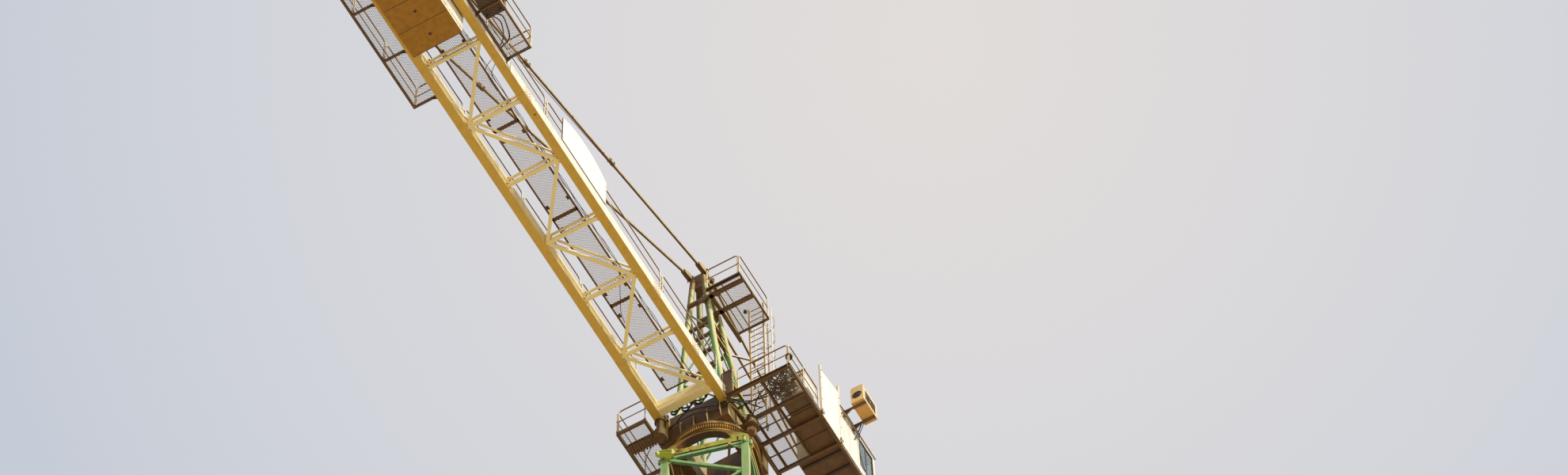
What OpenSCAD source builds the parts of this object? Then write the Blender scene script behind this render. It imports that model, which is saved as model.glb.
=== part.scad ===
// Tower crane, a 1:2 scale model in millimetres: every size below is half that of the real crane.
// +X runs along the jib, -X along the counter-jib, +Z is up and the origin is on the ground under the mast axis.

/* [Base] */
// Reach of each arm of the base cross from the mast axis
arm_reach = 2300; // [1900:10:2600]
// Width of the base cross beams
arm_w = 200; // [160:5:240]
// Depth of the base cross beams
arm_h = 270; // [200:5:340]
// Side of the square foot plates
foot_w = 520; // [420:10:600]
// Thickness of the foot plates and of the centre plate
foot_t = 30; // [20:1:40]
// Diameter of the circle of anchor bolts in each foot plate
anchor_pcd = 420; // [360:5:440]
// Diameter of the anchor bolt holes
anchor_d = 36; // [24:1:44]

/* [Mast] */
// Width of the mast over its legs
mast_w = 1225; // [1100:5:1400]
// Side of the square mast legs
leg_w = 100; // [80:1:120]
// Height of one mast section
section_h = 1500; // [1200:10:1800]
// Number of mast sections
section_n = 6; // [6:1:6]
// Width of the mast's cross bars
lace_w = 50; // [30:1:60]
// Angle of the mast about Z against the jib as it stands
mast_turn = 15.5; // [0:0.5:30]
// Spacing of the ladder rungs
rung_step = 150; // [120:5:170]

/* [Slewing gear] */
// Height of the fixed frame between the mast and the slewing ring
support_h = 500; // [420:10:600]
// Outer radius of the slewing ring
ring_r = 600; // [560:5:640]
// Inner radius of the slewing ring
ring_hole_r = 480; // [420:5:500]
// Height of the slewing ring
ring_h = 110; // [80:5:140]
// Running gap of the slewing ring
ring_gap = 0.5; // [0.3:0.1:1]
// Height of the turntable below the girders
table_h = 440; // [380:10:500]
// Width of the turntable's box beams
table_beam_w = 200; // [160:5:220]
// Half length of the turntable along the jib
table_half = 560; // [540:5:600]

/* [Counter-jib] */
// Width over the two girders
girder_span = 1050; // [980:5:1150]
// Width of a girder flange
flange_w = 110; // [90:1:130]
// Depth of a girder
girder_h = 225; // [200:5:260]
// Thickness of flanges and webs
plate_t = 12; // [8:1:16]
// Distance from the mast axis to the tail
tail_x = 10100; // [9800:10:10400]
// Length of one bracing bay
bay = 1015; // [960:5:1040]
// Number of bracing bays
bay_n = 6; // [6:1:6]
// Width of the lower braces
brace_w = 50; // [36:1:60]
// Width of the upper braces
brace_top_w = 30; // [20:1:36]
// Width of the walkway
walk_w = 395; // [340:5:440]
// Length of one walkway panel
walk_panel = 1540; // [1400:5:1560]

/* [Counterweights] */
// Number of counterweight slabs
slab_n = 5; // [4:1:5]
// Thickness of one slab
slab_t = 372; // [340:2:380]
// Width of the stem that hangs between the girders
slab_w = 750; // [650:5:780]
// Depth of the stem below the girders
slab_drop = 370; // [250:5:420]
// Height of the slab above the girders
slab_top = 330; // [250:5:420]
// Distance from the mast axis to the first slab
slab_x = 7300; // [7260:10:7400]

/* [Rails] */
// Height of the handrails
rail_h = 550; // [500:5:600]
// Diameter of the rails
rail_d = 20; // [16:1:26]

/* [Tower head] */
// Height of the top of the head above the girders
head_h = 4250; // [4000:10:4400]
// How far the top of the head leans to the counter-jib
head_lean = 345; // [250:5:400]
// Half spacing of the legs at their foot
head_foot = 390; // [360:5:420]
// Half spacing of the legs at the top
head_tip = 100; // [90:1:120]
// Diameter of the head legs
head_leg_d = 95; // [80:1:110]
// Height of the top platform above the girders
top_deck_z = 3100; // [2900:10:3200]
// Length of the top platform
top_deck_l = 875; // [800:5:950]
// Width of the top platform
top_deck_w = 535; // [480:5:600]

/* [Cab and its platform] */
// Width of the cab platform
deck_w = 1010; // [950:5:1100]
// Depth of the platform's edge channels
deck_h = 80; // [60:1:100]
// Length of the platform ahead of the mast axis
deck_front = 1860; // [1800:10:2000]
// Length of the platform behind the mast axis
deck_back = 600; // [560:10:640]
// Length of the cab
cab_l = 1040; // [960:5:1080]
// Width of the cab
cab_w = 680; // [620:5:720]
// Height of the cab
cab_h = 1040; // [980:5:1100]
// Thickness of the cab walls
cab_t = 20; // [14:1:26]

/* [Jib] */
// Length of one jib section
jib_len = 3750; // [3500:10:4000]
// Number of jib sections
jib_n = 6; // [6:1:6]
// Bays in one jib section
jib_bays = 4; // [3:1:5]
// Distance between the lower chords
jib_w = 700; // [620:5:780]
// Height between the lower and the upper chords
jib_h = 600; // [520:5:700]
// Side of the chords
chord_w = 60; // [50:1:76]
// Diameter of the jib braces
jib_brace_d = 32; // [24:1:40]
// Place of the trolley along the jib
trolley_x = 9800; // [6000:10:20000]
// Length of the hoist ropes below the trolley
rope_drop = 2600; // [1500:10:5000]
// Diameter of the hoist rope
rope_d = 9; // [7:1:12]

/* [Hidden] */
seat = 0.3;
mast_z = foot_t + arm_h;
mast_top = mast_z + section_n * section_h;
ring_z = mast_top + support_h;
table_z = ring_z + ring_h + ring_gap;
g = table_z + table_h;
web_y = girder_span / 2 - flange_w / 2;
walk_y = 12;
walk_x = 960;
walk_n = 4;
walk_z = girder_h - plate_t + seat;
brace_x = 820;
head_z = g + girder_h;
head_top = g + head_h;
jib_x = table_half + 190;
jib_z = g + 100;
table_y = web_y + 60;
end_x = table_half + 120;
deck_y = table_y + seat;
cab_x = deck_front - cab_l;
cab_y = -deck_y - deck_w + 10;
glass_t = 6;
winch_x = -9620;
tie_x = 8020;
tie_y = 130;
jib_tie_x = [9000, 18000];
trolley_wheel_r = 40;

// A bar of rectangular section from p to q
module strut(p, q, w, h) {
    d = q - p;
    l = norm(d);
    translate(p)
        rotate([0, acos(d[2] / l), atan2(d[1], d[0])])
            translate([-h / 2, -w / 2, 0])
                cube([h, w, l]);
}

// A round bar from p to q
module rod(p, q, d, n = 8) {
    v = q - p;
    l = norm(v);
    translate(p)
        rotate([0, acos(v[2] / l), atan2(v[1], v[0])])
            cylinder(d = d, h = l, $fn = n);
}

// An I beam along X from x0 to x1 with its underside at z = 0
module i_beam(x0, x1, w, h, t) {
    translate([x0, 0, 0])
        rotate([90, 0, 90])
            linear_extrude(x1 - x0)
                polygon([[-w / 2, 0], [w / 2, 0], [w / 2, t], [t / 2, t], [t / 2, h - t], [w / 2, h - t],
                         [w / 2, h], [-w / 2, h], [-w / 2, h - t], [-t / 2, h - t], [-t / 2, t], [-w / 2, t]]);
}

// A straight length of handrail along X: posts, top rail and knee rail
module rail_run(x0, x1, posts, h = rail_h) {
    for (z = [h / 2, h - rail_d / 2])
        rod([x0, 0, z], [x1, 0, z], rail_d);
    for (i = [0:posts - 1])
        rod([x0 + (x1 - x0) * i / (posts - 1), 0, 0], [x0 + (x1 - x0) * i / (posts - 1), 0, h], rail_d);
}

module base_cross() {
    color("yellowgreen") rotate(mast_turn) {
        difference() {
            union() {
                for (a = [0, 90])
                    rotate(a + 45)
                        translate([-arm_reach, -arm_w / 2, foot_t - 1])
                            cube([2 * arm_reach, arm_w, arm_h + 1]);
                translate([-mast_w / 2 - 60, -mast_w / 2 - 60, 0])
                    cube([mast_w + 120, mast_w + 120, foot_t]);
                for (a = [45:90:315])
                    rotate(a)
                        translate([arm_reach - foot_w / 2, -foot_w / 2, 0])
                            cube([foot_w, foot_w, foot_t]);
            }
            for (a = [45:90:315])
                rotate(a)
                    translate([arm_reach, 0, 0])
                        for (b = [45:90:315])
                            rotate(b)
                                translate([anchor_pcd / 2, 0, -1])
                                    cylinder(d = anchor_d, h = foot_t + 2, $fn = 32);
        }
    }
}

// One side of a mast section: a leg with the cross bars that run to the next leg
module mast_side() {
    h = section_h - seat;
    half = mast_w / 2;
    x0 = -half + leg_w - 1;
    x1 = half - leg_w - seat;
    y = -half + lace_w / 2 + 8;
    translate([-half, -half, 0])
        cube([leg_w, leg_w, h]);
    for (z = [lace_w / 2 + 20, h - lace_w / 2 - 20])
        strut([x0, y, z], [x1, y, z], lace_w, lace_w);
    intersection() {
        union() {
            strut([x0 - 30, y, h - 60], [x1 + 30, y, h / 2], lace_w - 6, lace_w);
            strut([x1 + 30, y, h / 2], [x0 - 30, y, 60], lace_w - 6, lace_w);
        }
        translate([x0, -half, 0])
            cube([x1 - x0, leg_w, h]);
    }
}

module mast_section(i) {
    color("yellowgreen")
        rotate(mast_turn)
            translate([0, 0, mast_z + (i - 1) * section_h + seat])
                for (a = [0:90:270])
                    rotate(a)
                        mast_side();
}

module mast_ladder() {
    y = mast_w / 2 - lace_w - 8 - seat - 15;
    color("peru") rotate(mast_turn) {
        for (x = [-110, 110])
            strut([x, y, mast_z + 20], [x, y, mast_top - 20], 30, 30);
        for (z = [mast_z + rung_step:rung_step:mast_top - rung_step / 2])
            rod([-110, y, z], [110, y, z], 14, 6);
    }
}

module slewing_support() {
    half = mast_w / 2;
    beam = 110;
    color("olivedrab") rotate(mast_turn) translate([0, 0, mast_top + seat]) {
        difference() {
            union() {
                translate([-half, -half, 0])
                    cube([mast_w, mast_w, beam]);
                translate([0, 0, beam - 1])
                    cylinder(r = ring_r - 20, h = support_h - beam + 1 - 2 * seat, $fn = 64);
                for (a = [45:90:315])
                    rotate(a)
                        rotate([90, 0, 0])
                            translate([0, 0, -10])
                                linear_extrude(20)
                                    polygon([[ring_r - 40, beam - 1], [half * sqrt(2) - 40, beam - 1],
                                             [half * sqrt(2) - 90, beam + 90], [ring_r - 30, support_h - 60]]);
            }
            translate([0, 0, -1])
                cylinder(r = ring_hole_r, h = support_h + 2, $fn = 64);
        }
    }
}

module slewing_ring() {
    color("goldenrod") translate([0, 0, ring_z])
        difference() {
            cylinder(r = ring_r, h = ring_h, $fn = 96);
            translate([0, 0, -1])
                cylinder(r = ring_hole_r, h = ring_h + 2, $fn = 96);
        }
}

module turntable() {
    top = table_h + girder_h;
    inner = table_beam_w;
    color("saddlebrown") translate([0, 0, table_z]) {
        difference() {
            cylinder(r = ring_r - 10, h = 60, $fn = 96);
            translate([0, 0, -1])
                cylinder(r = ring_hole_r, h = 62, $fn = 96);
        }
        difference() {
            translate([-table_half, -table_y, 59])
                cube([2 * table_half, 2 * table_y, top - 59]);
            translate([-table_half + inner, -table_y + inner, 58])
                cube([2 * (table_half - inner), 2 * (table_y - inner), top]);
            for (s = [-1, 1])
                translate([-table_half + inner, s > 0 ? table_y - 60 : -table_y - 1, 160])
                    cube([2 * (table_half - inner), 61, top - 260]);
        }
        for (s = [-1, 1]) {
            translate([-end_x, s * web_y - 20, table_h + 40])
                cube([121, 40, girder_h - 80]);
            translate([table_half - 1, s * jib_w / 2 - 30, table_h + 60])
                cube([jib_x - table_half + 1, 60, 80]);
        }
        translate([-table_half - 200, -290, 60])
            cube([201, 580, 30]);
    }
}

module slewing_drive() {
    x = -table_half - 105;
    z = table_z + 90 + seat;
    color("saddlebrown") for (y = [-180, 180]) translate([x, y, 0]) {
        translate([0, 0, z])
            cylinder(r = 80, h = 200, $fn = 32);
        translate([0, 0, z + 199])
            cylinder(r = 58, h = 150, $fn = 32);
    }
}

// A platform's rails along its outer edge y1 and its two ends, three runs that don't touch
module rails_round(x0, x1, y0, y1, posts) {
    in = rail_d / 2 + 5;
    translate([0, y1 - in, 0])
        rail_run(x0 + in, x1 - in, posts);
    for (x = [x0 + in, x1 - in])
        translate([x, 0, 0])
            rotate(90)
                rail_run(y0 + in, y1 - in - rail_d - seat, 2);
}

module left_platform() {
    y0 = table_y + seat;
    y1 = 1000;
    x0 = -940;
    x1 = 560;
    z = g - 250;
    color("saddlebrown") {
        for (x = [x0, -200, x1 - 40])
            translate([x, y0, z - 60])
                cube([40, y1 - y0, 60]);
        for (y = [y0, y1 - 40])
            translate([x0, y, z - 60])
                cube([x1 - x0, 40, 60]);
        translate([x0, y0, z - 1])
            cube([x1 - x0, y1 - y0, 9]);
    }
    color("wheat")
        translate([0, 0, z + 8 + seat])
            rails_round(x0, x1, y0, y1, 3);
}

module cab_platform() {
    y1 = -deck_y;
    y0 = -deck_y - deck_w;
    color("saddlebrown") translate([0, 0, g - deck_h]) {
        for (y = [y0, y1 - 40])
            translate([-deck_back, y, 0])
                cube([deck_back + deck_front, 40, deck_h]);
        for (x = [-deck_back, 0, 420, cab_x - 40, deck_front - 40])
            translate([x, y0, 0])
                cube([40, deck_w, deck_h]);
        translate([-deck_back, y0, deck_h - 7])
            cube([cab_x + deck_back, deck_w, 8]);
    }
}

module cab_platform_rail() {
    y0 = -deck_y - deck_w + 15;
    z = g + 1 + seat;
    color("wheat") {
        translate([0, y0, z])
            rail_run(-deck_back + 15, cab_x - 60, 4);
        translate([-deck_back + 15, 0, z])
            rotate(90)
                rail_run(y0 + rail_d + seat, -deck_y - 120, 2);
    }
}

module electrical_cabinet() {
    color("gray")
        translate([-200, -1470, g + 1 + seat])
            cube([290, 320, 620]);
}

module screen_panel() {
    y = -deck_y - deck_w + 45;
    z = g + 1 + seat;
    color("white") {
        for (x = [230, 730])
            translate([x, y, z])
                cube([30, 30, 1200]);
        translate([259, y + 10, z + 60])
            cube([472, 10, 1120]);
    }
}

module cab_floor() {
    color("saddlebrown")
        translate([cab_x, cab_y, g + seat])
            cube([cab_l, cab_w, cab_t]);
}

// Box of the cab walls with the openings for its windows and its rear door
module cab_walls() {
    t = cab_t;
    z = g + cab_t + 2 * seat;
    h = cab_h - cab_t;
    color("white") translate([cab_x, cab_y, z])
        difference() {
            cube([cab_l, cab_w, h]);
            translate([t, t, -1])
                cube([cab_l - 2 * t, cab_w - 2 * t, h + 2]);
            translate([cab_l - t - 1, 60, 120])
                cube([t + 2, cab_w - 120, h - 200]);
            for (y = [-1, cab_w - t - 1])
                translate([cab_l * 0.56, y, 200])
                    cube([cab_l * 0.38, t + 2, h - 280]);
            translate([-1, 120, -1])
                cube([t + 2, 330, 900]);
        }
}

module cab_glass() {
    z = g + cab_t + 2 * seat;
    h = cab_h - cab_t;
    inset = (cab_t - glass_t) / 2;
    color("lightblue", 0.5) translate([cab_x, cab_y, z]) {
        translate([cab_l - cab_t + inset, 60 + seat, 120 + seat])
            cube([glass_t, cab_w - 120 - 2 * seat, h - 200 - 2 * seat]);
        for (y = [inset, cab_w - cab_t + inset])
            translate([cab_l * 0.56 + seat, y, 200 + seat])
                cube([cab_l * 0.38 - 2 * seat, glass_t, h - 280 - 2 * seat]);
    }
}

module cab_roof() {
    color("white")
        translate([cab_x - 20, cab_y - 20, g + cab_h + 3 * seat])
            cube([cab_l + 40, cab_w + 40, 30]);
}

module air_conditioner() {
    z = g + cab_h + 30 + 4 * seat;
    y = cab_y - 20;
    color("ivory") {
        for (x = [cab_x + 150, cab_x + 550])
            translate([x, y - 380, z])
                cube([30, 600, 30]);
        translate([cab_x + 130, y - 390, z + 29])
            cube([480, 330, 330]);
    }
}

// Unit vector from p to q
function unit(p, q) = (q - p) / norm(q - p);

// Lower end and head end of the two rear ties, and of the two jib ties
function rear_low(s) = [-tie_x, s * web_y, head_z + 60];
function rear_high(s) = [-head_lean - 320, s * tie_y, head_top - 170];
function jib_low(k) = [jib_tie_x[k], 0, jib_z + jib_h + chord_w / 2 + 60];
function jib_high(k) = [-head_lean + 300, (k * 2 - 1) * tie_y, head_top - 150];

// Lean and half spacing of the head legs at height z above the girders
function head_at(z) = let (k = (z - girder_h) / (head_h - girder_h)) [-head_lean * k, head_foot + (head_tip - head_foot) * k];

module head_legs() {
    b = head_at(girder_h);
    t = head_at(head_h - 310);
    color("yellowgreen")
        for (sx = [-1, 1])
            for (sy = [-1, 1]) {
                rod([b[0] + sx * b[1], sy * b[1], head_z + seat + 10],
                    [t[0] + sx * t[1], sy * t[1], head_top - 310], head_leg_d, 12);
                translate([b[0] + sx * b[1] - 70, sy * b[1] - 70, head_z + seat])
                    cube([140, 140, 20]);
            }
    color("saddlebrown")
        for (z = [1400, 2300]) {
            c = head_at(z);
            for (s = [-1, 1]) {
                strut([c[0] - c[1], s * c[1], g + z], [c[0] + c[1], s * c[1], g + z], 50, 50);
                strut([c[0] + s * c[1], -c[1], g + z], [c[0] + s * c[1], c[1], g + z], 50, 50);
            }
        }
}

module head_block() {
    color("saddlebrown") {
        translate([-head_lean - 170, -150, head_top - 300 + seat])
            cube([340, 300, 300]);
        for (s = [-1, 1])
            strut(rear_high(s) + 180 * unit(rear_low(s), rear_high(s)), rear_high(s), 30, 110);
        for (k = [0, 1])
            strut(jib_high(k) + 180 * unit(jib_low(k), jib_high(k)), jib_high(k), 30, 110);
        for (y = [-85, -45])
            translate([-head_lean - 100, y, head_top - 20])
                cube([90, 10, 120]);
        translate([-head_lean - 55, -40, head_top + 80])
            rotate([90, 0, 0])
                cylinder(r = 90, h = 30, $fn = 48);
        translate([-head_lean - 55, -34, head_top + 80])
            rotate([90, 0, 0])
                cylinder(r = 15, h = 52, $fn = 24);
    }
}

module top_platform() {
    c = head_at(top_deck_z - 60);
    reach = c[1] + head_leg_d / 2 + 4;
    x0 = -665;
    y1 = -290;
    y0 = y1 - top_deck_w;
    z = g + top_deck_z;
    color("saddlebrown") {
        for (x = [c[0] - reach - 60, c[0] + reach])
            translate([x, y0, z - 60])
                cube([60, -y0 + 260, 60]);
        for (y = [y0, y1 - 30])
            translate([x0, y, z - 1])
                cube([top_deck_l, 30, 30]);
        for (x = [x0, x0 + top_deck_l - 30])
            translate([x, y0, z - 1])
                cube([30, top_deck_w, 30]);
        translate([x0, y0, z])
            cube([top_deck_l, top_deck_w, 8]);
    }
}

module top_platform_rail() {
    x0 = -665 + 10;
    x1 = x0 + top_deck_l - 20;
    y0 = -290 - top_deck_w + 10;
    z = g + top_deck_z + 29 + seat;
    color("wheat") {
        translate([0, y0, z])
            rail_run(x0, x1, 2);
        translate([x0, 0, z])
            rotate(90)
                rail_run(y0 + rail_d + seat, -300, 2);
    }
}

module head_ladder() {
    x = -665 + top_deck_l + 12 + seat;
    y = -570;
    z0 = head_z + seat;
    z1 = g + top_deck_z + rail_h;
    hoop_z = z0 + 1100;
    color("wheat") {
        for (s = [-1, 1])
            strut([x, y + s * 115, z0], [x, y + s * 115, z1], 30, 24);
        for (z = [z0 + 100:rung_step:z1])
            rod([x, y - 115, z], [x, y + 115, z], 14, 6);
        translate([x, y, 0])
            difference() {
                translate([145, 0, 0]) {
                    for (z = [hoop_z:450:z1])
                        translate([0, 0, z])
                            difference() {
                                cylinder(r = 190, h = 20, $fn = 32);
                                translate([0, 0, -1])
                                    cylinder(r = 184, h = 22, $fn = 32);
                            }
                    for (a = [-60, 0, 60])
                        rotate(a)
                            translate([183, -10, hoop_z])
                                cube([6, 20, z1 - hoop_z]);
                }
                translate([-400, -400, hoop_z - 1])
                    cube([400, 800, z1]);
            }
    }
}

module girder(side) {
    color("khaki")
        translate([0, side * web_y, g])
            i_beam(-tail_x, -end_x - seat, flange_w, girder_h, plate_t);
}

module counter_jib_bracing() {
    y = web_y - plate_t / 2 - seat;
    z0 = g + plate_t + seat + brace_w / 2;
    z1 = g + girder_h - plate_t - seat - brace_top_w / 2;
    color("khaki") {
        for (i = [0:bay_n]) {
            x = -brace_x - i * bay;
            strut([x, -y, z0], [x, y, z0], brace_w, brace_w);
            strut([x, -y, z1], [x, y, z1], brace_top_w, brace_top_w);
        }
        for (i = [0:bay_n - 1]) {
            s = i % 2 == 0 ? 1 : -1;
            xa = -brace_x - i * bay - 20;
            xb = -brace_x - (i + 1) * bay + 20;
            strut([xa, -s * (y - 30), z0], [xb, s * (y - 30), z0], brace_w, brace_w - 4);
            strut([xa, -s * (y - 30), z1], [xb, s * (y - 30), z1], brace_top_w, brace_top_w - 4);
        }
    }
}

module walkway() {
    color("saddlebrown") for (i = [0:walk_n - 1]) translate([-walk_x - (i + 1) * walk_panel, walk_y - walk_w / 2, g + walk_z]) {
        for (y = [0, walk_w - 25])
            translate([0, y, 0])
                cube([walk_panel - 4, 25, 25]);
        for (x = [0, walk_panel / 2, walk_panel - 29])
            translate([x, 0, 0])
                cube([25, walk_w, 25]);
        translate([0, 0, 24])
            cube([walk_panel - 4, walk_w, 6]);
    }
}

module walkway_rails() {
    z = g + girder_h + seat;
    color("wheat") {
        for (i = [0:3])
            translate([-1250 - (i + 1) * walk_panel, girder_span / 2 - 20, z])
                rail_run(20, walk_panel - 40, 2);
        for (i = [0:3])
            translate([-800 - (i + 1) * walk_panel, -girder_span / 2 + 20, z])
                rail_run(20, walk_panel - 40, 2);
    }
}

module name_board() {
    x0 = -5020;
    l = 1140;
    color("white")
        translate([x0, -girder_span / 2 + 20 - rail_d / 2 - seat, g + girder_h + 20])
            rotate([90, 0, 0])
                linear_extrude(12)
                    intersection() {
                        square([l, 900]);
                        translate([l / 2, -180])
                            circle(r = 1000, $fn = 96);
                    }
}

module counterweights() {
    color("darkgoldenrod")
        for (i = [0:slab_n - 1])
            translate([-slab_x - (i + 1) * (slab_t + 3), 0, g])
                difference() {
                    union() {
                        translate([0, -slab_w / 2, -slab_drop])
                            cube([slab_t, slab_w, slab_drop + girder_h + slab_top]);
                        translate([slab_t / 2 - 40, -web_y + 25, girder_h + seat])
                            cube([80, 2 * web_y - 50, 80]);
                    }
                    translate([slab_t / 2, 0, -slab_drop - 1])
                        cylinder(d = 40, h = 200, $fn = 24);
                }
}

// Side platform with its rail, built for the left side
module side_platform() {
    x0 = -tail_x + 500;
    x1 = -6450;
    y0 = girder_span / 2 + seat;
    y1 = 910;
    z = g + 120;
    color("saddlebrown") {
        for (y = [y0, y1 - 30])
            translate([x0, y, z])
                cube([x1 - x0, 30, 40]);
        for (i = [0:4])
            translate([x0 + (x1 - x0 - 30) * i / 4, web_y + plate_t / 2 + seat, z])
                cube([30, y1 - web_y - plate_t / 2 - seat, 40]);
        translate([x0, y0, z + 39])
            cube([x1 - x0, y1 - y0, 7]);
    }
    color("wheat")
        translate([0, 0, z + 46 + seat])
            rails_round(x0, x1, y0, y1, 5);
}

module resistor_box() {
    color("dimgray")
        translate([-7500, -880, g + 166 + seat])
            cube([420, 280, 300]);
}

module hoist_winch() {
    x = winch_x;
    z = g + girder_h + seat;
    color("gray") {
        translate([x - 380, -500, z])
            cube([760, 1000, 40]);
        for (y = [-300, 270])
            translate([x - 180, y, z + 39])
                cube([360, 30, 420]);
        translate([x, -300, z + 260])
            rotate([-90, 0, 0])
                cylinder(r = 150, h = 600, $fn = 48);
        translate([x, 300, z + 260])
            rotate([-90, 0, 0])
                cylinder(r = 110, h = 180, $fn = 32);
    }
}

module rear_ties() {
    color("saddlebrown")
        for (s = [-1, 1]) {
            low = rear_low(s);
            strut(low, rear_high(s) - seat * unit(low, rear_high(s)), 30, 40);
            translate([low[0] - 60, low[1] - 20, head_z + seat])
                cube([120, 40, 110]);
        }
}

// One side of a jib section: a lower chord and the braces that rise from it
module jib_side(side) {
    step = jib_len / jib_bays;
    y = side * jib_w / 2;
    up = [0, -side * (jib_w / 2 - chord_w / 2 - jib_brace_d / 2), jib_h - chord_w / 2 - jib_brace_d / 2];
    strut([seat, y, 0], [jib_len - seat, y, 0], chord_w, chord_w);
    for (i = [0:jib_bays - 1]) {
        m = [(i + 0.5) * step, y, 0] + up;
        rod([i * step + 40, y, 0], m, jib_brace_d);
        rod([(i + 1) * step - 40, y, 0], m, jib_brace_d);
    }
}

module jib_section(i) {
    step = jib_len / jib_bays;
    reach = jib_w / 2 - chord_w / 2 - seat;
    color("khaki") translate([jib_x + (i - 1) * jib_len, 0, jib_z]) {
        for (s = [-1, 1])
            jib_side(s);
        strut([seat, 0, jib_h], [jib_len - seat, 0, jib_h], chord_w, chord_w);
        for (k = [0:jib_bays - 1]) {
            s = k % 2 == 0 ? 1 : -1;
            intersection() {
                union() {
                    rod([k * step + 30, -reach - 20, 0], [k * step + 30, reach + 20, 0], jib_brace_d);
                    rod([k * step + 30, -s * (reach - 10), 0], [(k + 1) * step + 10, s * (reach - 10), 0], jib_brace_d);
                }
                translate([0, -reach, -50])
                    cube([jib_len - 2, 2 * reach, 100]);
            }
        }
    }
}

module jib_ties() {
    color("saddlebrown")
        for (k = [0, 1]) {
            low = jib_low(k);
            strut(low, jib_high(k) - seat * unit(low, jib_high(k)), 30, 40);
            translate([low[0] - 60, -20, low[2] - 60 + seat])
                cube([120, 40, 110]);
        }
}

module trolley() {
    side = jib_w / 2 + chord_w / 2 + 2;
    wheel_z = chord_w / 2 + trolley_wheel_r + seat;
    color("goldenrod") translate([trolley_x, 0, jib_z]) {
        for (s = [-1, 1]) {
            translate([-300, s > 0 ? side : -side - 20, -140])
                cube([600, 20, 240]);
            for (x = [-220, 220])
                translate([x, s * (side + 1), wheel_z])
                    rotate([s * 90, 0, 0]) {
                        cylinder(r = 12, h = 12, $fn = 24);
                        translate([0, 0, 4])
                            cylinder(r = trolley_wheel_r, h = 24, $fn = 48);
                    }
        }
        for (x = [-290, 260])
            translate([x, -side - 1, -140])
                cube([30, 2 * side + 2, 60]);
        translate([-300, -40, -140])
            cube([600, 80, 40]);
    }
}

module hook_block() {
    z = jib_z - rope_drop;
    color("goldenrod") translate([trolley_x, 0, z]) {
        translate([-150, -50, 0])
            cube([300, 100, 260]);
        translate([0, 0, -80])
            cylinder(d = 60, h = 81, $fn = 32);
    }
    color("dimgray") translate([trolley_x, 0, z - 200])
        rotate([90, 0, 0])
            translate([0, 0, -25])
                difference() {
                    cylinder(r = 130, h = 50, $fn = 48);
                    translate([0, 0, -1])
                        cylinder(r = 75, h = 52, $fn = 48);
                    translate([0, 0, -1])
                        cube([200, 200, 52]);
                }
}

module hoist_rope() {
    color("dimgray") {
        rod([winch_x, -55, head_z + 415], [-head_lean - 90, -55, head_top + 170], rope_d, 6);
        for (x = [-110, 110])
            rod([trolley_x + x, 0, jib_z - rope_drop + 260 + seat], [trolley_x + x, 0, jib_z - 140 - seat], rope_d, 6);
    }
}

base_cross();
for (i = [1:section_n])
    mast_section(i);
mast_ladder();
slewing_support();
slewing_ring();
turntable();
slewing_drive();
left_platform();
cab_platform();
cab_platform_rail();
electrical_cabinet();
screen_panel();
cab_floor();
cab_walls();
cab_glass();
cab_roof();
air_conditioner();
head_legs();
head_block();
top_platform();
top_platform_rail();
head_ladder();
girder(1);  // girder_left
girder(-1);  // girder_right
counter_jib_bracing();
walkway();
walkway_rails();
name_board();
counterweights();
side_platform();  // side_platform_left
mirror([0, 1, 0]) side_platform();  // side_platform_right
resistor_box();
hoist_winch();
rear_ties();
for (i = [1:jib_n])
    jib_section(i);
jib_ties();
trolley();
hook_block();
hoist_rope();
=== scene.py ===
import bmesh
import bpy
import math
import random
from mathutils import Matrix, Vector


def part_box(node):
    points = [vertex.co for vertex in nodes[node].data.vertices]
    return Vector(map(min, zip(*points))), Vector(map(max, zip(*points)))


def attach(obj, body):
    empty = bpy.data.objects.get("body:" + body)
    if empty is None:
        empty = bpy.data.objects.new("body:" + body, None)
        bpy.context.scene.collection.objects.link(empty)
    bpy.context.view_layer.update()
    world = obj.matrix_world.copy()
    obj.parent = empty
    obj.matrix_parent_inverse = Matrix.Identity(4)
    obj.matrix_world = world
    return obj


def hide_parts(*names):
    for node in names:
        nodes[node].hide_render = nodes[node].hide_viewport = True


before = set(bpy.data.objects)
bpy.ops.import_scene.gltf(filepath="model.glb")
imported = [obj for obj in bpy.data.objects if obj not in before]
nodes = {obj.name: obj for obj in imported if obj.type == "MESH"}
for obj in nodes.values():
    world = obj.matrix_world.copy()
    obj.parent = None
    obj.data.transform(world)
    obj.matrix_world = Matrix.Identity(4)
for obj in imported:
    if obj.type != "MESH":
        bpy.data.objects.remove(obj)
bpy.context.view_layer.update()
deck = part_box("girder_left")[0].z     # underside of the girders
girderDepth = 0.24
girderTop = deck + girderDepth
print("frame loaded with", len(nodes), "nodes")


# Camera: the photograph's angle from far below the counter-jib, worked out from its vanishing points
cameraSet = {
    "lens": 107.6,
    "sensor": 36.0,
    "place": (-29.02, -16.09, -45.235),
    "right": (0.4905, -0.8712, -0.0211),
    "down": (0.7624, 0.4407, -0.4739),
    "ahead": (0.4221, 0.2164, 0.8803),
}


def makeCamera(s):
    data = bpy.data.cameras.new("viewpoint")
    data.lens = s["lens"]
    data.sensor_width = s["sensor"]
    data.clip_end = 2000
    cam = bpy.data.objects.new("viewpoint", data)
    right, down, ahead = Vector(s["right"]), Vector(s["down"]), Vector(s["ahead"])
    turn = Matrix((right, -down, -ahead)).transposed()
    cam.matrix_world = Matrix.Translation(s["place"]) @ turn.to_4x4()
    bpy.context.scene.collection.objects.link(cam)
    bpy.context.scene.camera = cam


makeCamera(cameraSet)
bpy.context.scene.view_settings.view_transform = "Standard"


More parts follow.
